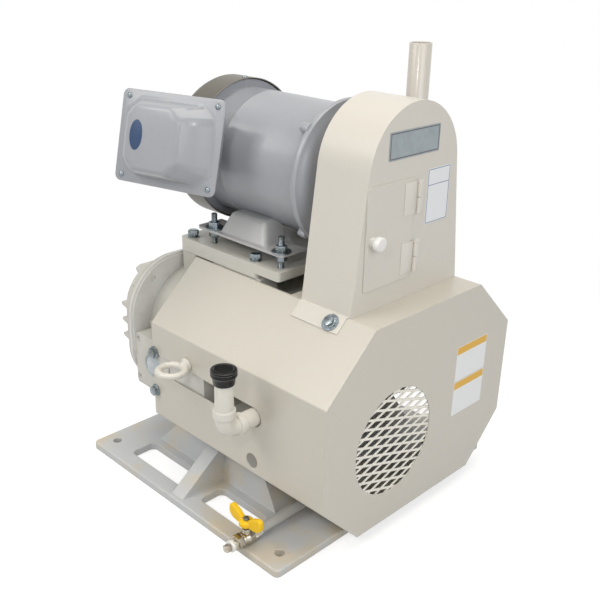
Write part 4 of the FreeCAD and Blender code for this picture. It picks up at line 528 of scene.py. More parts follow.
def make_plate_bolts():
    """Bolts on plain and spring washers that clamp the motor's plates."""
    piece = bmesh.new()
    for x, y in PLATE_BOLTS:
        add(piece, washer(WASHER, SCREW, 2.6), stand((x, y, PLATE_TOP)))
        add(piece, washer(9.5, SCREW, 3.2), stand((x, y, PLATE_TOP + 2.7)))
        add(piece, hexagon(FLATS, 8.0), stand((x, y, PLATE_TOP + 6.0), Z, 17 + x))
        add(piece, thread(SCREW, 30.0), stand((x, y, PLATE_TOP - 62.0)))
        shank = spun([(0, 0), (SCREW, 0), (SCREW, 38), (0, 38)], 20, False)
        add(piece, shank, stand((x, y, PLATE_TOP - 32.0)))
    finish(piece, "plate_bolt_set", ZINC_DARK_REFLECTION, ["plate_bolts"])


def make_studs():
    """Threaded studs with their heads under the plates."""
    piece = bmesh.new()
    top = span("motor_studs")[1].z
    for x, y in STUDS:
        seat = span("motor_support_plate" if x < 0 else "motor_mounting_plate")[0].z
        head = seat - 2.5
        add(piece, washer(WASHER, SCREW, 2.5), stand((x, y, seat), -Z))
        add(piece, hexagon(FLATS, 8.0), stand((x, y, head), -Z, 40))
        add(piece, thread(SCREW, top - head), stand((x, y, head)))
    finish(piece, "stud_set", ZINC_DARK_REFLECTION, ["motor_studs"])


def make_stud_nuts():
    """The nuts and washers above and below each lug of the motor's feet."""
    piece = bmesh.new()
    below = LUG_TOP - 7.0
    for x, y in STUDS:
        add(piece, washer(18.5, SCREW, 2.6), stand((x, y, LUG_TOP)))
        spring = spun([(SCREW, 0), (10.5, 0), (10.5, 2.5), (SCREW, 2.5)], 24)
        add(piece, spring, stand((x, y, LUG_TOP + 2.6)))
        add(piece, hexagon(FLATS, 9.8), stand((x, y, LUG_TOP + 3.2), Z, 11 + x))
        add(piece, washer(12.0, SCREW, 2.0), stand((x, y, below)))
        add(piece, hexagon(FLATS, 10.0), stand((x, y, below), -Z, 35 + x))
    finish(piece, "stud_nut_set", ZINC_DARK_REFLECTION, ["stud_nuts"])


def flanged_bolt(piece, place, axis, flats, head, rim, thickness, twist=0.0):
    """A flanged screw on its washer."""
    add(piece, washer(rim, 4.5, thickness), stand(place, axis))
    lift = Vector(place) + Vector(axis).normalized() * thickness
    flange = spun([(0, 0), (flats * 0.62, 0), (flats * 0.64, 0.5), (flats * 0.55, 1.6), (0, 1.6)], 32, False)
    add(piece, flange, stand(lift, axis))
    add(piece, hexagon(flats, head), stand(lift, axis, twist))


def make_cover_bolts():
    """Flanged screws that hold the cover's sides, two on each."""
    piece = bmesh.new()
    low, high = span("cover_bolts")
    rim = 10.5                             # of the frame's own screws
    for side in (-1, 1):
        for turn, z in ((12, low.z + rim), (41, high.z - rim)):
            place = (middle("cover_bolts").x, side * COVER.y, z)
            flanged_bolt(piece, place, (0, side, 0), 18.0, 8.0, 12.5, 2.0, turn)
    finish(piece, "cover_bolt_set", ZINC_DARK_REFLECTION, ["cover_bolts"])


def make_guard_bolts():
    """The bolt of each ear of the guard, on the cover's sloping shoulder, with a large washer."""
    width, fall, along = 112.7, 106.0, 18.0        # of the shoulder, and the bolt's distance down it
    slope = Vector((0, width, -fall)).normalized()
    piece = bmesh.new()
    for side in (-1, 1):
        out = Vector((0, side * -slope.z, slope.y))
        seat = Vector((middle("guard_bolts").x, side * (COVER.y - width + slope.y * along),
                       COVER.z + slope.z * along)) + out * 1.8
        flanged_bolt(piece, seat, out, 17.0, 6.6, 16.0, 2.0, 20)
    finish(piece, "guard_bolt_set", ZINC_DARK_REFLECTION, ["guard_bolts"])


def loose_groups(part):
    """The corners of each separate solid in a part."""
    seen = set()
    for start in part.verts:
        if start in seen:
            continue
        group, queue = [], [start]
        seen.add(start)
        while queue:
            vert = queue.pop()
            group.append(vert.co)
            fresh = [edge.other_vert(vert) for edge in vert.link_edges if edge.other_vert(vert) not in seen]
            seen.update(fresh)
            queue.extend(fresh)
        yield group


def make_gear_cover_bolts():
    """Heads on washers round the gear cover's rim, where the frame has them."""
    piece, solid = bmesh.new(), bmesh.new()
    solid.from_mesh(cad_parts["gear_cover_bolts"].data)
    bmesh.ops.remove_doubles(solid, verts=solid.verts[:], dist=1e-5)
    for group in loose_groups(solid):
        centre = sum(group, Vector()) / len(group)
        x, y, z = max(co.x for co in group) / MM, centre.y / MM - MIDDLE, centre.z / MM
        add(piece, washer(8.4, 4.2, 1.2), stand((x, y, z), -X))
        add(piece, hexagon(13.0, 5.4), stand((x - 0.1, y, z), -X, y))
    solid.free()
    finish(piece, "gear_cover_bolt_set", ZINC_DARK_REFLECTION, ["gear_cover_bolts"])


# Motor

MOTOR_UP = middle("motor_fan_cowl").z         # the motor's axis over the floor
DRUM = 122.0                                  # radius of its frame


def round_motor(x, radius, angle):
    """A place at an angle round the motor's axis, and the direction in which it faces."""
    out = Vector((0, math.cos(math.radians(angle)), math.sin(math.radians(angle))))
    return Vector((x, 0, MOTOR_UP)) + out * radius, out


def make_motor_frame():
    """The rolled frame: a smooth drum with turned lips at both ends and a low weld seam."""
    low, high = span("motor_frame")
    length, bore, seam = high.x - low.x, DRUM - 11.0, DRUM + 0.5
    profile = [(bore, 0), (DRUM - 1, 0), (DRUM, 1.2), (DRUM, 60), (seam, 61), (seam, 63), (DRUM, 64),
               (DRUM, length - 1.2), (DRUM - 1, length), (bore, length)]
    piece = bmesh.new()
    add(piece, spun(profile, 144), stand((low.x, 0, MOTOR_UP), X))
    finish(piece, "motor_frame_drum", MOTOR_PAINT, ["motor_frame"])


def make_drive_bracket():
    """The belt-side end shield: a rounded ring, a shallow dish, a hub and four bolted lugs."""
    profile = [(100.0, 0), (131.5, 0), (135.0, 1.2), (136.0, 4.0), (136.0, 9.0), (134.6, 12.0), (131.5, 13.0),
               (124.0, 15.5), (120.0, 19.0), (92.0, 25.0), (66.0, 30.0), (60.0, 35.0), (52.0, 42.0),
               (21.0, 42.0), (21.0, 36.0), (35.0, 36.0), (35.0, 19.0), (43.0, 19.0), (100.0, 12.0)]
    seat = span("motor_drive_bracket")[0].x
    piece = bmesh.new()
    add(piece, spun(profile, 144), stand((seat, 0, MOTOR_UP), X))
    finish(piece, "drive_shield", MOTOR_PAINT, ["motor_drive_bracket"])
    lugs, bolts = bmesh.new(), bmesh.new()
    on_end = Matrix.Rotation(math.radians(90), 4, "Y") @ Matrix.Rotation(math.radians(90), 4, "Z")
    back, reach = 12.0, DRUM + 5.0                 # how far the lugs stand behind the ring and from the axis
    for angle in (45, 135, 225, 315):
        place, out = round_motor(seat - back, reach, angle)
        turn = Matrix.Rotation(math.radians(angle), 4, "X") @ on_end
        add(lugs, rounded_slab(26.0, 17.0, 18.0, 6.0, 2.0),
            Matrix.Translation(at(*place)) @ turn @ Matrix.Scale(MM, 4))
        add(bolts, hexagon(11.0, 5.0), stand(place + out * 1.5, -X, angle))
        add(bolts, washer(7.0, 3.0, 1.0), stand(place + out * 1.5, -X))
    finish(lugs, "drive_shield_lugs", MOTOR_PAINT)
    finish(bolts, "drive_shield_bolts", ZINC_DARK_REFLECTION)


def make_cowl_trim():
    """The cowl's rolled rim and the screws that hold it."""
    mouth = span("motor_fan_cowl")[1].x
    rim = bmesh.new()
    add(rim, spun([(137.6, 0), (139.2, -0.8), (139.8, 0.6), (139.2, 2.0), (137.6, 1.6)], 144),
        stand((mouth - 0.8, 0, MOTOR_UP), X))
    finish(rim, "cowl_rim", COWL_PAINT)
    screws = bmesh.new()
    for angle in (90, 210, 330):
        place, out = round_motor(mouth - 8.0, 139.4, angle)
        add(screws, spun([(0, 0), (5.2, 0), (5.0, 1.6), (3.4, 3.2), (0, 3.8)], 24, False), stand(place, out))
    finish(screws, "cowl_screws", ZINC_DARK_REFLECTION)


def make_motor_feet():
    """Pressed feet: flat lugs with rounded corners and a soft-edged hump under the drum."""
    piece = bmesh.new()
    low, high = span("motor_feet")
    left, right, front, inner = -92.0, 37.0, -125.0, -70.0         # the hump's foot
    top = LUG_TOP + 41.0
    columns = {-1.0: low.x, -0.333: left, 0.333: right, 1.0: high.x}
    rows = {-1.0: low.y, 0.0: front, 1.0: inner}
    for side in (-1, 1):
        part = bmesh.new()
        bmesh.ops.create_grid(part, x_segments=3, y_segments=2, size=1.0)
        for vert in part.verts:
            vert.co.x = columns[min(columns, key=lambda c: abs(c - vert.co.x))]
            vert.co.y = rows[min(rows, key=lambda r: abs(r - vert.co.y))]
            vert.co.z = LUG_TOP
        middles = [(face, face.calc_center_median()) for face in part.faces]
        hump = [face for face, spot in middles if left < spot.x < right and spot.y > front]
        raised = grown_verts(part, hump)
        bmesh.ops.delete(part, geom=hump, context="FACES_ONLY")
        for vert in raised:
            vert.co.z = top
            vert.co.x += 17.0 if vert.co.x < 0 else -18.0
            if vert.co.y < -100:
                vert.co.y = front + 17.0
        walls = [face for face in part.faces if face.calc_center_median().y > inner - 0.5]
        bmesh.ops.delete(part, geom=walls, context="FACES_ONLY")
        bmesh.ops.recalc_face_normals(part, faces=part.faces[:])
        crown = [e for e in part.edges if e.is_manifold and max(v.co.z for v in e.verts) > top - 1.0]
        soften(part, crown, 8.0, 5)
        foot = [e for e in part.edges if e.is_manifold and max(v.co.z for v in e.verts) < LUG_TOP + 0.01
                and len({f.normal.z > 0.999 for f in e.link_faces}) == 2]
        soften(part, foot, 5.0, 3)
        corners = [v for v in part.verts
                   if v.co.y < low.y + 0.1 and (v.co.x < low.x + 0.1 or v.co.x > high.x - 0.1)]
        bmesh.ops.bevel(part, geom=corners, offset=14.0, offset_type="OFFSET", segments=6, profile=0.5,
                        affect="VERTICES", material=-1)
        for face in part.faces:
            if face.normal.z < -0.5:
                face.normal_flip()
        bmesh.ops.solidify(part, geom=part.faces[:], thickness=4.6)
        lift = LUG_TOP - max(v.co.z for v in part.verts if v.co.y < front - 1.0)
        bmesh.ops.translate(part, vec=(0, 0, lift), verts=part.verts[:])
        if side > 0:
            bmesh.ops.scale(part, vec=(1, -1, 1), verts=part.verts[:])
            bmesh.ops.reverse_faces(part, faces=part.faces[:])
        add(piece, part, stand((0, 0, 0)))
    finish(piece, "motor_foot_pair", FEET_PAINT_LIT, ["motor_feet"])


BOX_PLACE, BOX_TURN, BOX_TILT = (-137.0, -205.0, 667.0), 13.9, -14.4    # the lid's middle and its angles
LID, LID_FLANGE, LID_CORNER = (233.0, 171.0), 3.0, 13.0                 # its sides, sheet and corners


def on_box(across=0.0, up=0.0, out=0.0):
    """The move that sets a part on the terminal box: across and up its front, and out from its rim."""
    turn = Matrix.Rotation(math.radians(BOX_TURN), 4, "Z")
    tilt = Matrix.Rotation(math.radians(90 + BOX_TILT), 4, "X")
    lid = Matrix.Translation(at(*BOX_PLACE)) @ turn @ tilt @ Matrix.Scale(MM, 4)
    return lid @ Matrix.Translation((across, up, out))


def octagon(verts, size, out):
    """Set eight corners in a ring, from its half sides and the two cuts of its corners."""
    width, height, cut_w, cut_h = size
    ring = [spot for a in (-1, 1) for b in (-1, 1)
            for spot in ((a * width, b * (height - cut_h)), (a * (width - cut_w), b * height))]
    order = sorted(verts, key=lambda v: math.atan2(v.co.y, v.co.x))
    for vert, spot in zip(order, sorted(ring, key=lambda p: math.atan2(p[1], p[0]))):
        vert.co = (*spot, out)


def make_box_lid():
    """The pressed lid: a rounded flange, a deep soft-cornered dome and a bare oval plate."""
    piece, dome, plate = bmesh.new(), bmesh.new(), bmesh.new()
    add(piece, rounded_slab(*LID, LID_FLANGE, LID_CORNER, 0.8), on_box(out=-LID_FLANGE))
    bmesh.ops.create_circle(dome, cap_ends=True, segments=8, radius=1.0)
    octagon(dome.verts[:], (105.0, 76.0, 33.0, 26.0), 0.0)
    for size, out in (((99.0, 70.0, 32.0, 25.0), 2.6), ((57.0, 60.0, 20.0, 21.0), 52.0)):
        crown = max(dome.faces, key=lambda f: f.calc_center_median().z)
        octagon(grown_verts(dome, [crown]), size, out)
    bmesh.ops.recalc_face_normals(dome, faces=dome.faces[:])
    soften(dome, [e for e in dome.edges if min(v.co.z for v in e.verts) > 2.0
                  and max(v.co.z for v in e.verts) > 3.0], 9.0, 5)
    add(piece, dome, on_box())
    finish(piece, "terminal_lid", MOTOR_PAINT, ["terminal_box_lid"], sharp=50)
    oval = spun([(0, 0), (1.0, 0), (1.0, 0.5), (0.96, 0.8), (0, 0.8)], 64, False)
    bmesh.ops.scale(oval, vec=(14.5, 27.0, 1.0), verts=oval.verts[:])
    add(plate, oval, on_box(-32.0, 4.0, 51.8))
    finish(plate, "blank_oval_plate", BADGE_BLUE)


def make_box():
    """The open terminal box behind the lid, narrower towards its neck."""
    width, height, depth, floor, wall, taper = 208.0, 150.0, 52.0, 5.0, 4.0, 0.80
    neck = 50.0
    box = rounded_slab(width, height, depth, LID_CORNER, 0.0)
    back = [vert for vert in box.verts if vert.co.z < 1.0]
    bmesh.ops.scale(box, vec=(taper, taper, 1.0), verts=back)
    mouth = max(box.faces, key=lambda f: f.calc_center_median().z)
    bmesh.ops.inset_region(box, faces=[mouth], thickness=wall)
    bmesh.ops.translate(box, vec=(0, 0, floor - depth), verts=mouth.verts[:])
    bmesh.ops.scale(box, vec=(taper, taper, 1.0), verts=mouth.verts[:])
    piece = bmesh.new()
    add(piece, box, on_box(out=-LID_FLANGE - depth))
    add(piece, rounded_slab(54.0, 84.0, neck, 14.0, 0.0), on_box(34.0, out=0.1 - LID_FLANGE - depth - neck))
    finish(piece, "terminal_housing", MOTOR_PAINT, ["terminal_box"], sharp=50)


def make_lid_screws():
    """Round-headed screws in the lid's corners."""
    piece = bmesh.new()
    head = [(0, 0), (5.8, 0), (5.8, 0.5), (5.2, 0.8), (5.0, 1.8), (3.4, 3.0), (0, 3.4)]
    across, up = LID[0] / 2 - 15.5, LID[1] / 2 - 12.5
    for a in (-1, 1):
        for b in (-1, 1):
            add(piece, spun(head, 28, False), on_box(a * across, b * up))
    finish(piece, "terminal_lid_screw_set", ZINC_DARK_REFLECTION, ["terminal_lid_screws"])


# Guard, door and plates

GUARD_FACE = span("belt_guard")[1].x


def make_knob():
    """A round moulded pull knob with a soft face."""
    profile = [(0, 0), (9.4, 0), (9.0, 2.0), (8.2, 5.0), (9.6, 6.6), (12.0, 8.2), (12.5, 10.0), (12.5, 16.5),
               (12.0, 18.4), (10.6, 19.6), (8.0, 20.0), (0, 20.2)]
    centre = middle("door_knob")
    piece = bmesh.new()
    add(piece, spun(profile, 56, False), stand((span("door_knob")[0].x, centre.y, centre.z), X))
    finish(piece, "pull_knob", WHITE, ["door_knob"], "door_body", 50)


def make_hinges():
    """Thin painted hinge leaves with rolled knuckles, sized from the frame's own leaves."""
    on_door, on_guard = span("door_hinge_leaves"), span("guard_hinge_leaves")
    length, barrel, sheet = 56.0, 3.6, 1.2
    pin_x, pin_y = on_door[1].x - barrel, 8.0
    rolled = [(0, 0), (barrel - 0.5, 0), (barrel, 0.5), (barrel, length / 2 - 0.8),
              (barrel - 0.5, length / 2 - 0.3), (0, length / 2 - 0.3)]
    door, guard = bmesh.new(), bmesh.new()
    for low in (on_guard[0].z, on_door[1].z - length):
        for piece, face, rim, start in ((door, on_door[0].x, on_door[0].y, length / 2 + 0.3),
                                        (guard, on_guard[0].x, on_guard[1].y, 0.0)):
            width = abs(rim - pin_y) - 1.0
            centre = (rim + pin_y + math.copysign(1.0, rim - pin_y)) / 2
            leaf = rounded_slab(width, length, sheet, 2.0, 0.35)
            add(piece, leaf, stand((face, centre, low + length / 2), X))
            add(piece, spun(rolled, 28, False), stand((pin_x, pin_y, low + start)))
    finish(door, "door_leaf_pair", HINGE_PAINT, ["door_hinge_leaves"], "door_body")
    finish(guard, "guard_leaf_pair", HINGE_PAINT, ["guard_hinge_leaves"])


def bare_plate(name, centre, size, thickness, material):
    """A thin rounded plate lying on the guard's face."""
    piece = bmesh.new()
    add(piece, rounded_slab(*size, thickness, 1.5, 0.0), stand((GUARD_FACE, *centre), X))
    finish(piece, name, material)


def ruled_frame(name, centre, size, width, thickness, material, rules=()):
    """A thin printed border, with any rules across it, lying on a plate."""
    piece = bmesh.new()
    half_y, half_z = size[0] / 2, size[1] / 2
    for step in (-half_z, half_z, *rules):
        add(piece, rounded_slab(size[0], width, thickness, width / 3, 0.0),
            stand((GUARD_FACE, centre[0], centre[1] + step), X))
    for step in (-half_y, half_y):
        add(piece, rounded_slab(width, size[1], thickness, width / 3, 0.0),
            stand((GUARD_FACE, centre[0] + step, centre[1]), X))
    finish(piece, name, material)


def make_blank_plates():
    """A bare name plate and a plain label, where the guard has its own."""
    name_centre, label_centre = (-6.3, 706.3), (69.0, 604.3)
    bare_plate("name_plate", name_centre, (132.7, 46.5), 0.9, PLATE_METAL)
    ruled_frame("name_plate_line", name_centre, (127.0, 41.0), 1.6, 1.0, DARK_LINE)
    bare_plate("guard_label", label_centre, (64.0, 98.5), 0.3, LABEL_WHITE)
    ruled_frame("guard_label_line", label_centre, (60.0, 94.5), 1.2, 0.45, LABEL_BLUE, (20.0,))


# Oil gauge, eyes, filler, drain and pipes

def make_gauge():
    """The sight glass set back in its turned ring."""
    centre = middle("sight_glass")
    seat = (centre.x, span("sight_glass")[1].y, centre.z)
    ring = bmesh.new()
    profile = [(21.1, 0), (25.5, 0), (25.5, 6.0), (25.0, 6.6), (23.6, 6.8), (22.0, 6.4), (21.1, 5.2)]
    add(ring, spun(profile, 64), stand(seat, -Y))
    finish(ring, "gauge_ring", PLATE_METAL, ["sight_glass_ring"])
    glass = bmesh.new()
    add(glass, spun([(0, 0), (20.9, 0), (20.9, 5.2), (19.0, 5.9), (0, 6.3)], 64, False), stand(seat, -Y))
    finish(glass, "gauge_window", GLASS, ["sight_glass"])


def make_eyes():
    """Forged lifting eyes: a round ring swelling into its neck, a collar and the shank."""
    piece = bmesh.new()
    centre = middle("lifting_eyes")
    radius, bar, reach = 24.5, 6.25, 297.5         # of the ring, its bar, and the ring's own centre
    section = [(radius + bar * math.cos(a), bar * math.sin(a))
               for a in [math.tau * i / 20 for i in range(20)]]
    neck = [(0, -26), (7.9, -26), (7.9, 0), (13.4, 0), (14.0, 0.6), (14.0, 4.2), (13.2, 5.0), (10.5, 5.6),
            (8.6, 8.0), (8.0, 11.0), (7.2, 14.5), (0, 15.5)]
    for side in (-1, 1):
        add(piece, spun(section, 72), stand((centre.x, side * reach, centre.z)))
        seat = (centre.x, side * (COVER.y + 0.2), centre.z)
        add(piece, spun(neck, 40, False), stand(seat, (0, side, 0)))
    finish(piece, "lifting_eye_pair", PIPE_PAINT, ["lifting_eyes"], sharp=55)


def swept(path, radius, ring=28):
    """A round bar whose section follows a list of points in an upright plane across the machine."""
    part = bmesh.new()
    loops = []
    for i, point in enumerate(path):
        before, after = path[max(i - 1, 0)], path[min(i + 1, len(path) - 1)]
        other = (after - before).normalized().cross(X)
        loops.append([part.verts.new(point + (X * math.cos(a) + other * math.sin(a)) * radius)
                      for a in [math.tau * k / ring for k in range(ring)]])
    edges = [[part.edges.new(pair) for pair in zip(loop, loop[1:] + loop[:1])] for loop in loops]
    for first, second in zip(edges, edges[1:]):
        bmesh.ops.bridge_loops(part, edges=first + second)
    for loop in (loops[0], loops[-1]):
        part.faces.new(loop)
    bmesh.ops.recalc_face_normals(part, faces=part.faces[:])
    return part


def bend(start, corner, end, radius, steps=14):
    """Points along two straight runs joined by a round bend, in millimetres."""
    first, last = (start - corner).normalized(), (end - corner).normalized()
    centre = corner + (first + last) * radius
    arc = []
    for i in range(steps + 1):
        angle = math.pi / 2 * i / steps
        arc.append(centre - last * radius * math.cos(angle) - first * radius * math.sin(angle))
    return [start, *arc, end]


def make_filler():
    """A malleable elbow with rolled beads, the collar it ends in and the threaded nipple above."""
    mouth, seat = middle("oil_filler_nipple"), span("oil_filler_nipple")[0].z
    low, high = span("oil_filler_elbow")
    body, corner = 16.5, 22.0                      # the elbow's radius and its bend's
    axis = low.z + body
    piece = bmesh.new()
    path = bend(Vector((mouth.x, high.y, axis)), Vector((mouth.x, mouth.y, axis)),
                Vector((mouth.x, mouth.y, seat - 2.0)), corner)
    add(piece, swept(path, body, 40), stand((0, 0, 0)))
    for place, along, length in (((mouth.x, mouth.y + 39.0, axis), -Y, 14.0),
                                 ((mouth.x, mouth.y, seat - 5.0), Z, 17.0)):
        bead = [(15.0, 0), (18.6, 0), (19.8, 1.2), (20.0, 3.0), (20.0, length - 3.0), (19.8, length - 1.2),
                (18.6, length), (13.0, length), (13.0, 0.5)]
        add(piece, spun(bead, 56), stand(place, along))
    finish(piece, "filler_elbow", PIPE_PAINT, ["oil_filler_elbow"], sharp=55)
    nipple = bmesh.new()
    wall = [(12.5, 0), (16.2, 0), (16.2, 72.9), (15.6, 73.5), (12.9, 73.5), (12.5, 73.0)]
    add(nipple, spun(wall, 56), stand((mouth.x, mouth.y, seat)))
    for turn in range(5):
        add(nipple, spun([(15.9, 0), (16.45, 0.8), (15.9, 1.6)], 48),
            stand((mouth.x, mouth.y, seat + 12.2 + turn * 2.0)))
    finish(nipple, "filler_nipple", PIPE_PAINT, ["oil_filler_nipple"], sharp=50)


def make_filler_cap():
    """A moulded screw cap: a broad ribbed head over a narrower tapered skirt."""
    centre, foot = middle("oil_filler_cap"), span("oil_filler_cap")[0].z + 0.1
    piece, head = bmesh.new(), bmesh.new()
    bmesh.ops.create_circle(head, cap_ends=True, segments=96, radius=22.8)
    for i, vert in enumerate(sorted(head.verts, key=lambda v: math.atan2(v.co.y, v.co.x))):
        if i % 4 < 2:
            vert.co *= 0.975
    bmesh.ops.translate(head, vec=(0, 0, 7.0), verts=grown_verts(head, head.faces[:]))
    bmesh.ops.recalc_face_normals(head, faces=head.faces[:])
    crown = [(0, 0), (22.2, 0), (23.0, 0.8), (23.0, 2.2), (22.2, 4.2), (20.0, 5.2), (17.5, 5.4), (16.5, 4.7),
             (0, 4.4)]
    skirt = [(16.6, 0), (18.2, 0), (18.6, 0.8), (19.4, 9.0), (21.4, 14.5), (22.6, 16.0), (16.6, 16.0)]
    for part, lift in ((head, 15.8), (spun(crown, 72, False), 22.4), (spun(skirt, 72), 0.0)):
        add(piece, part, stand((centre.x, centre.y, foot + lift)))
    finish(piece, "filler_cap", BLACK, ["oil_filler_cap"], "filler_cap_body", 30)


VALVE = Vector((*middle("drain_valve_body").xy, middle("drain_plug").z))        # the ball's centre


def make_exhaust_pipe():
    """A plain steel pipe with its burr turned off at the open end."""
    low, high = span("exhaust_pipe")
    centre, length, bore, radius = middle("exhaust_pipe"), high.z - low.z, 18.15, 21.35
    profile = [(bore, 0), (radius, 0), (radius, length - 1.2), (20.6, length), (18.9, length),
               (bore, length - 0.8)]
    piece = bmesh.new()
    add(piece, spun(profile, 72), stand((centre.x, centre.y, low.z)))
    finish(piece, "exhaust_tube", EXHAUST_PAINT, ["exhaust_pipe"])


def make_drain_pipe():
    """The oil drain: down out of the casing, round a bend and out to the valve."""
    low, high = span("drain_pipe")
    down, corner = -150.0, 22.0                    # the upright run's place and the bend's radius
    path = bend(Vector((VALVE.x, down, high.z)), Vector((VALVE.x, down, VALVE.z)),
                Vector((VALVE.x, low.y, VALVE.z)), corner)
    piece = bmesh.new()
    add(piece, swept(path, 8.65, 32), stand((0, 0, 0)))
    finish(piece, "drain_tube", DRAIN_PAINT, ["drain_pipe"], sharp=55)


def make_valve():
    """The ball valve's body: chamfered hexagon ends, a waisted middle and the gland nut."""
    low, high = span("drain_valve_body")
    piece = bmesh.new()
    for y, axis in ((high.y, -Y), (low.y, Y)):
        add(piece, hexagon(25.0, 13.0, 0.05), stand((VALVE.x, y, VALVE.z), axis, 30))
    waist = [(0, 12.5), (12.6, 12.5), (13.4, 16.0), (13.4, 21.0), (14.4, 23.0), (14.6, 27.0), (13.4, 29.0),
             (13.4, 34.0), (12.6, 37.5), (0, 37.5)]
    add(piece, spun(waist, 56, False), stand((VALVE.x, high.y, VALVE.z), -Y))
    gland = [(0, 0), (8.0, 0), (8.0, 13.0), (7.4, 14.0), (4.1, 14.0), (4.1, 20.0), (0, 20.0)]
    add(piece, spun(gland, 36, False), stand(VALVE + Z * 6.0))
    add(piece, hexagon(13.5, 4.2), stand(VALVE + Z * 15.6))
    finish(piece, "valve_casing", NICKEL, ["drain_valve_body"])
    plug = bmesh.new()
    for part, out, twist in ((hexagon(22.0, 9.0, 0.05), 0.0, 14), (thread(6.6, 6.0), 8.5, 0),
                             (rounded_slab(12.0, 12.0, 11.5, 1.2, 1.0), 13.5, 20)):
        add(plug, part, stand((VALVE.x, low.y - out, VALVE.z), -Y, twist))
    finish(plug, "outlet_plug", NICKEL, ["drain_plug"])
    tape = bmesh.new()
    wrap = [(0, 0), (10.0, 0), (11.0, 1.0), (11.4, 3.0), (11.0, 5.6), (10.0, 6.6), (0, 6.6)]
    for y in (low.y - 7.4, high.y + 6.4):
        add(tape, spun(wrap, 36, False), stand((VALVE.x, y, VALVE.z), -Y))
    finish(tape, "sealing_tape", WHITE)


def make_valve_handle():
    """The butterfly handle: a hub with two rounded wings, and the nut that holds it."""
    place = Vector((*VALVE.xy, span("drain_valve_handle")[0].z))
    thickness = 10.0
    outline = [(7, 0), (20, -1), (31, 1), (38, 6), (41, 13), (40, 25), (34, 29), (27, 26.5), (18, 22),
               (7, 13)]
    piece, wings = bmesh.new(), bmesh.new()
    for side in (-1, 1):
        face = wings.faces.new([wings.verts.new((side * x, -thickness / 2, z)) for x, z in outline])
        bmesh.ops.translate(wings, vec=(0, thickness, 0), verts=grown_verts(wings, [face]))
    bmesh.ops.recalc_face_normals(wings, faces=wings.faces[:])
    soften(wings, [e for e in wings.edges if abs(e.verts[0].co.y - e.verts[1].co.y) < 0.01], 2.2, 4)
    add(piece, wings, stand(place))
    hub = [(4.1, 0), (12.0, 0), (13.5, 1.5), (13.5, 9.0), (12.0, 11.0), (9.0, 11.6), (4.1, 11.6)]
    add(piece, spun(hub, 44), stand(place))
    finish(piece, "butterfly_handle", YELLOW, ["drain_valve_handle"], "valve_body", 45)
    nut = bmesh.new()
    add(nut, hexagon(10.0, 4.4), stand(place + Z * 11.2, Z, 10))
    finish(nut, "handle_nut", DARK_IRON, (), "valve_body")


for make in (make_plate_bolts, make_studs, make_stud_nuts, make_cover_bolts, make_guard_bolts,
             make_gear_cover_bolts, make_motor_frame, make_drive_bracket, make_cowl_trim, make_motor_feet,
             make_box_lid, make_box, make_lid_screws, make_knob, make_hinges, make_blank_plates, make_gauge,
             make_eyes, make_filler, make_filler_cap, make_exhaust_pipe, make_drain_pipe, make_valve,
             make_valve_handle):
    make()


# Floor, light and camera

def background_rays(tree):
    """The rays that show the background: straight from the camera, off a shiny face or through glass."""
    rays = tree.nodes.new("ShaderNodeLightPath")
    bounced = maths(tree, "MAXIMUM", rays.outputs["Is Glossy Ray"], rays.outputs["Is Transmission Ray"])
    return maths(tree, "MAXIMUM", rays.outputs["Is Camera Ray"], bounced)


def make_floor():
    """A wide pale floor that takes the object's shadow and turns to white farther out."""
    flat = bmesh.new()
    bmesh.ops.create_circle(flat, cap_ends=True, segments=64, radius=14.0)
    mesh = bpy.data.meshes.new("floor")
    flat.to_mesh(mesh)
    flat.free()
    material = bpy.data.materials.new("floor_paper")
    material.use_nodes = True
    tree = material.node_tree
    tree.nodes.clear()
    out = tree.nodes.new("ShaderNodeOutputMaterial")
    paper = tree.nodes.new("ShaderNodeBsdfDiffuse")
    paper.inputs["Color"].default_value = (0.50, 0.50, 0.50, 1)
    glow = tree.nodes.new("ShaderNodeEmission")
    seen = background_rays(tree)
    lit = tree.nodes.new("ShaderNodeAddShader")
    tree.links.new(maths(tree, "MULTIPLY", seen, 0.64), glow.inputs["Strength"])
    tree.links.new(paper.outputs["BSDF"], lit.inputs[0])
    tree.links.new(glow.outputs["Emission"], lit.inputs[1])
    white = tree.nodes.new("ShaderNodeEmission")
    reach = tree.nodes.new("ShaderNodeVectorMath")
    reach.operation = "LENGTH"
    tree.links.new(tree.nodes.new("ShaderNodeTexCoord").outputs["Object"], reach.inputs[0])
    shaded, plain = 0.55, 1.5                      # where the shadow ends and the white begins, in metres
    fade = maths(tree, "MULTIPLY", remap(tree, reach.outputs["Value"], shaded, plain), seen)
    both = tree.nodes.new("ShaderNodeMixShader")
    tree.links.new(fade, both.inputs["Fac"])
    tree.links.new(lit.outputs["Shader"], both.inputs[1])
    tree.links.new(white.outputs["Emission"], both.inputs[2])
    tree.links.new(both.outputs["Shader"], out.inputs["Surface"])
    mesh.materials.append(material)
    floor = show("floor", mesh)


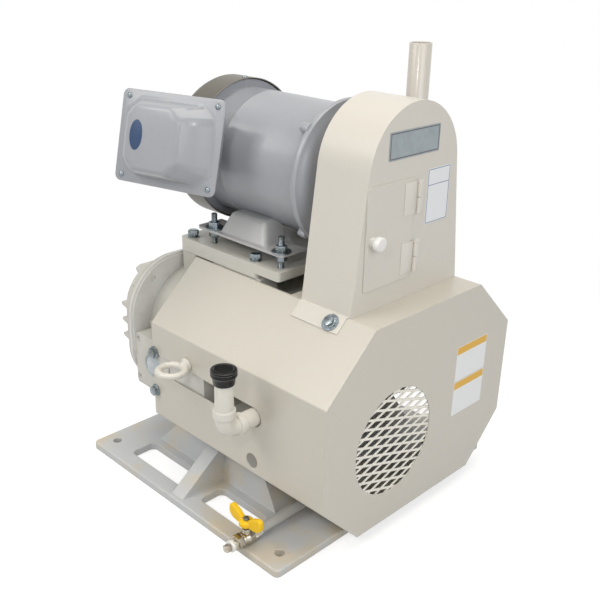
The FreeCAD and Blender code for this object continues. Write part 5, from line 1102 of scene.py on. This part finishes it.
def make_sky():
    """White behind the object, and a soft grey room for its light and reflections."""
    world = bpy.data.worlds.new("studio")
    bpy.context.scene.world = world
    world.use_nodes = True
    tree = world.node_tree
    tree.nodes.clear()
    out = tree.nodes.new("ShaderNodeOutputWorld")
    room = tree.nodes.new("ShaderNodeBackground")
    room.inputs["Color"].default_value = (0.93, 0.96, 1.0, 1)
    room.inputs["Strength"].default_value = 0.42
    behind = tree.nodes.new("ShaderNodeBackground")
    behind.inputs["Color"].default_value = (1, 1, 1, 1)
    behind.inputs["Strength"].default_value = 1.0
    mix = tree.nodes.new("ShaderNodeMixShader")
    tree.links.new(background_rays(tree), mix.inputs["Fac"])
    tree.links.new(room.outputs["Background"], mix.inputs[1])
    tree.links.new(behind.outputs["Background"], mix.inputs[2])
    tree.links.new(mix.outputs["Shader"], out.inputs["Surface"])


def lamp(name, place, target, size, power, colour=(1, 1, 1)):
    """A flat lamp that faces a target."""
    light = bpy.data.lights.new(name, "AREA")
    light.shape = "RECTANGLE"
    light.size, light.size_y = size
    light.energy = power
    light.color = colour
    shade = show(name, light)
    shade.location = place
    shade.rotation_euler = (Vector(target) - Vector(place)).to_track_quat("-Z", "Y").to_euler()


def make_camera():
    """The photograph's camera: where it stands, and the directions of its right, its top and its back."""
    place = (1.1064, -1.108, 1.005)
    right = Vector((0.70070, 0.71326, 0.01691))
    up = Vector((-0.29128, 0.26436, 0.91939))
    back = Vector((0.65129, -0.64914, 0.39299))
    data = bpy.data.cameras.new("camera")
    data.sensor_width, data.lens, data.clip_start = 36.0, 50.92, 0.05
    data.shift_x, data.shift_y = 0.0189, 0.0066
    camera = show("camera", data)
    camera.matrix_world = Matrix.Translation(place) @ Matrix((right, up, back)).transposed().to_4x4()
    bpy.context.scene.camera = camera


make_floor()
make_sky()
lamp("key", (-1.2, -2.6, 2.6), (0, 0, 0.4), (1.6, 1.6), 36, (1.0, 0.97, 0.93))
lamp("fill", (2.6, -0.6, 1.5), (0, 0, 0.4), (1.8, 1.4), 25, (0.97, 0.98, 1.0))
lamp("top", (0.2, 0.3, 5.0), (0, 0, 0.3), (3.6, 3.6), 120, (1.0, 0.945, 0.86))
lamp("low", (-0.5, -2.3, 0.55), (0, 0, 0.25), (1.6, 0.8), 2.5, (0.98, 0.99, 1.0))
lamp("flash", (0.9, -1.5, 1.5), (0, 0, 0.35), (0.16, 0.16), 5, (1.0, 0.99, 0.97))
make_camera()
bpy.context.scene.view_settings.view_transform = "Standard"
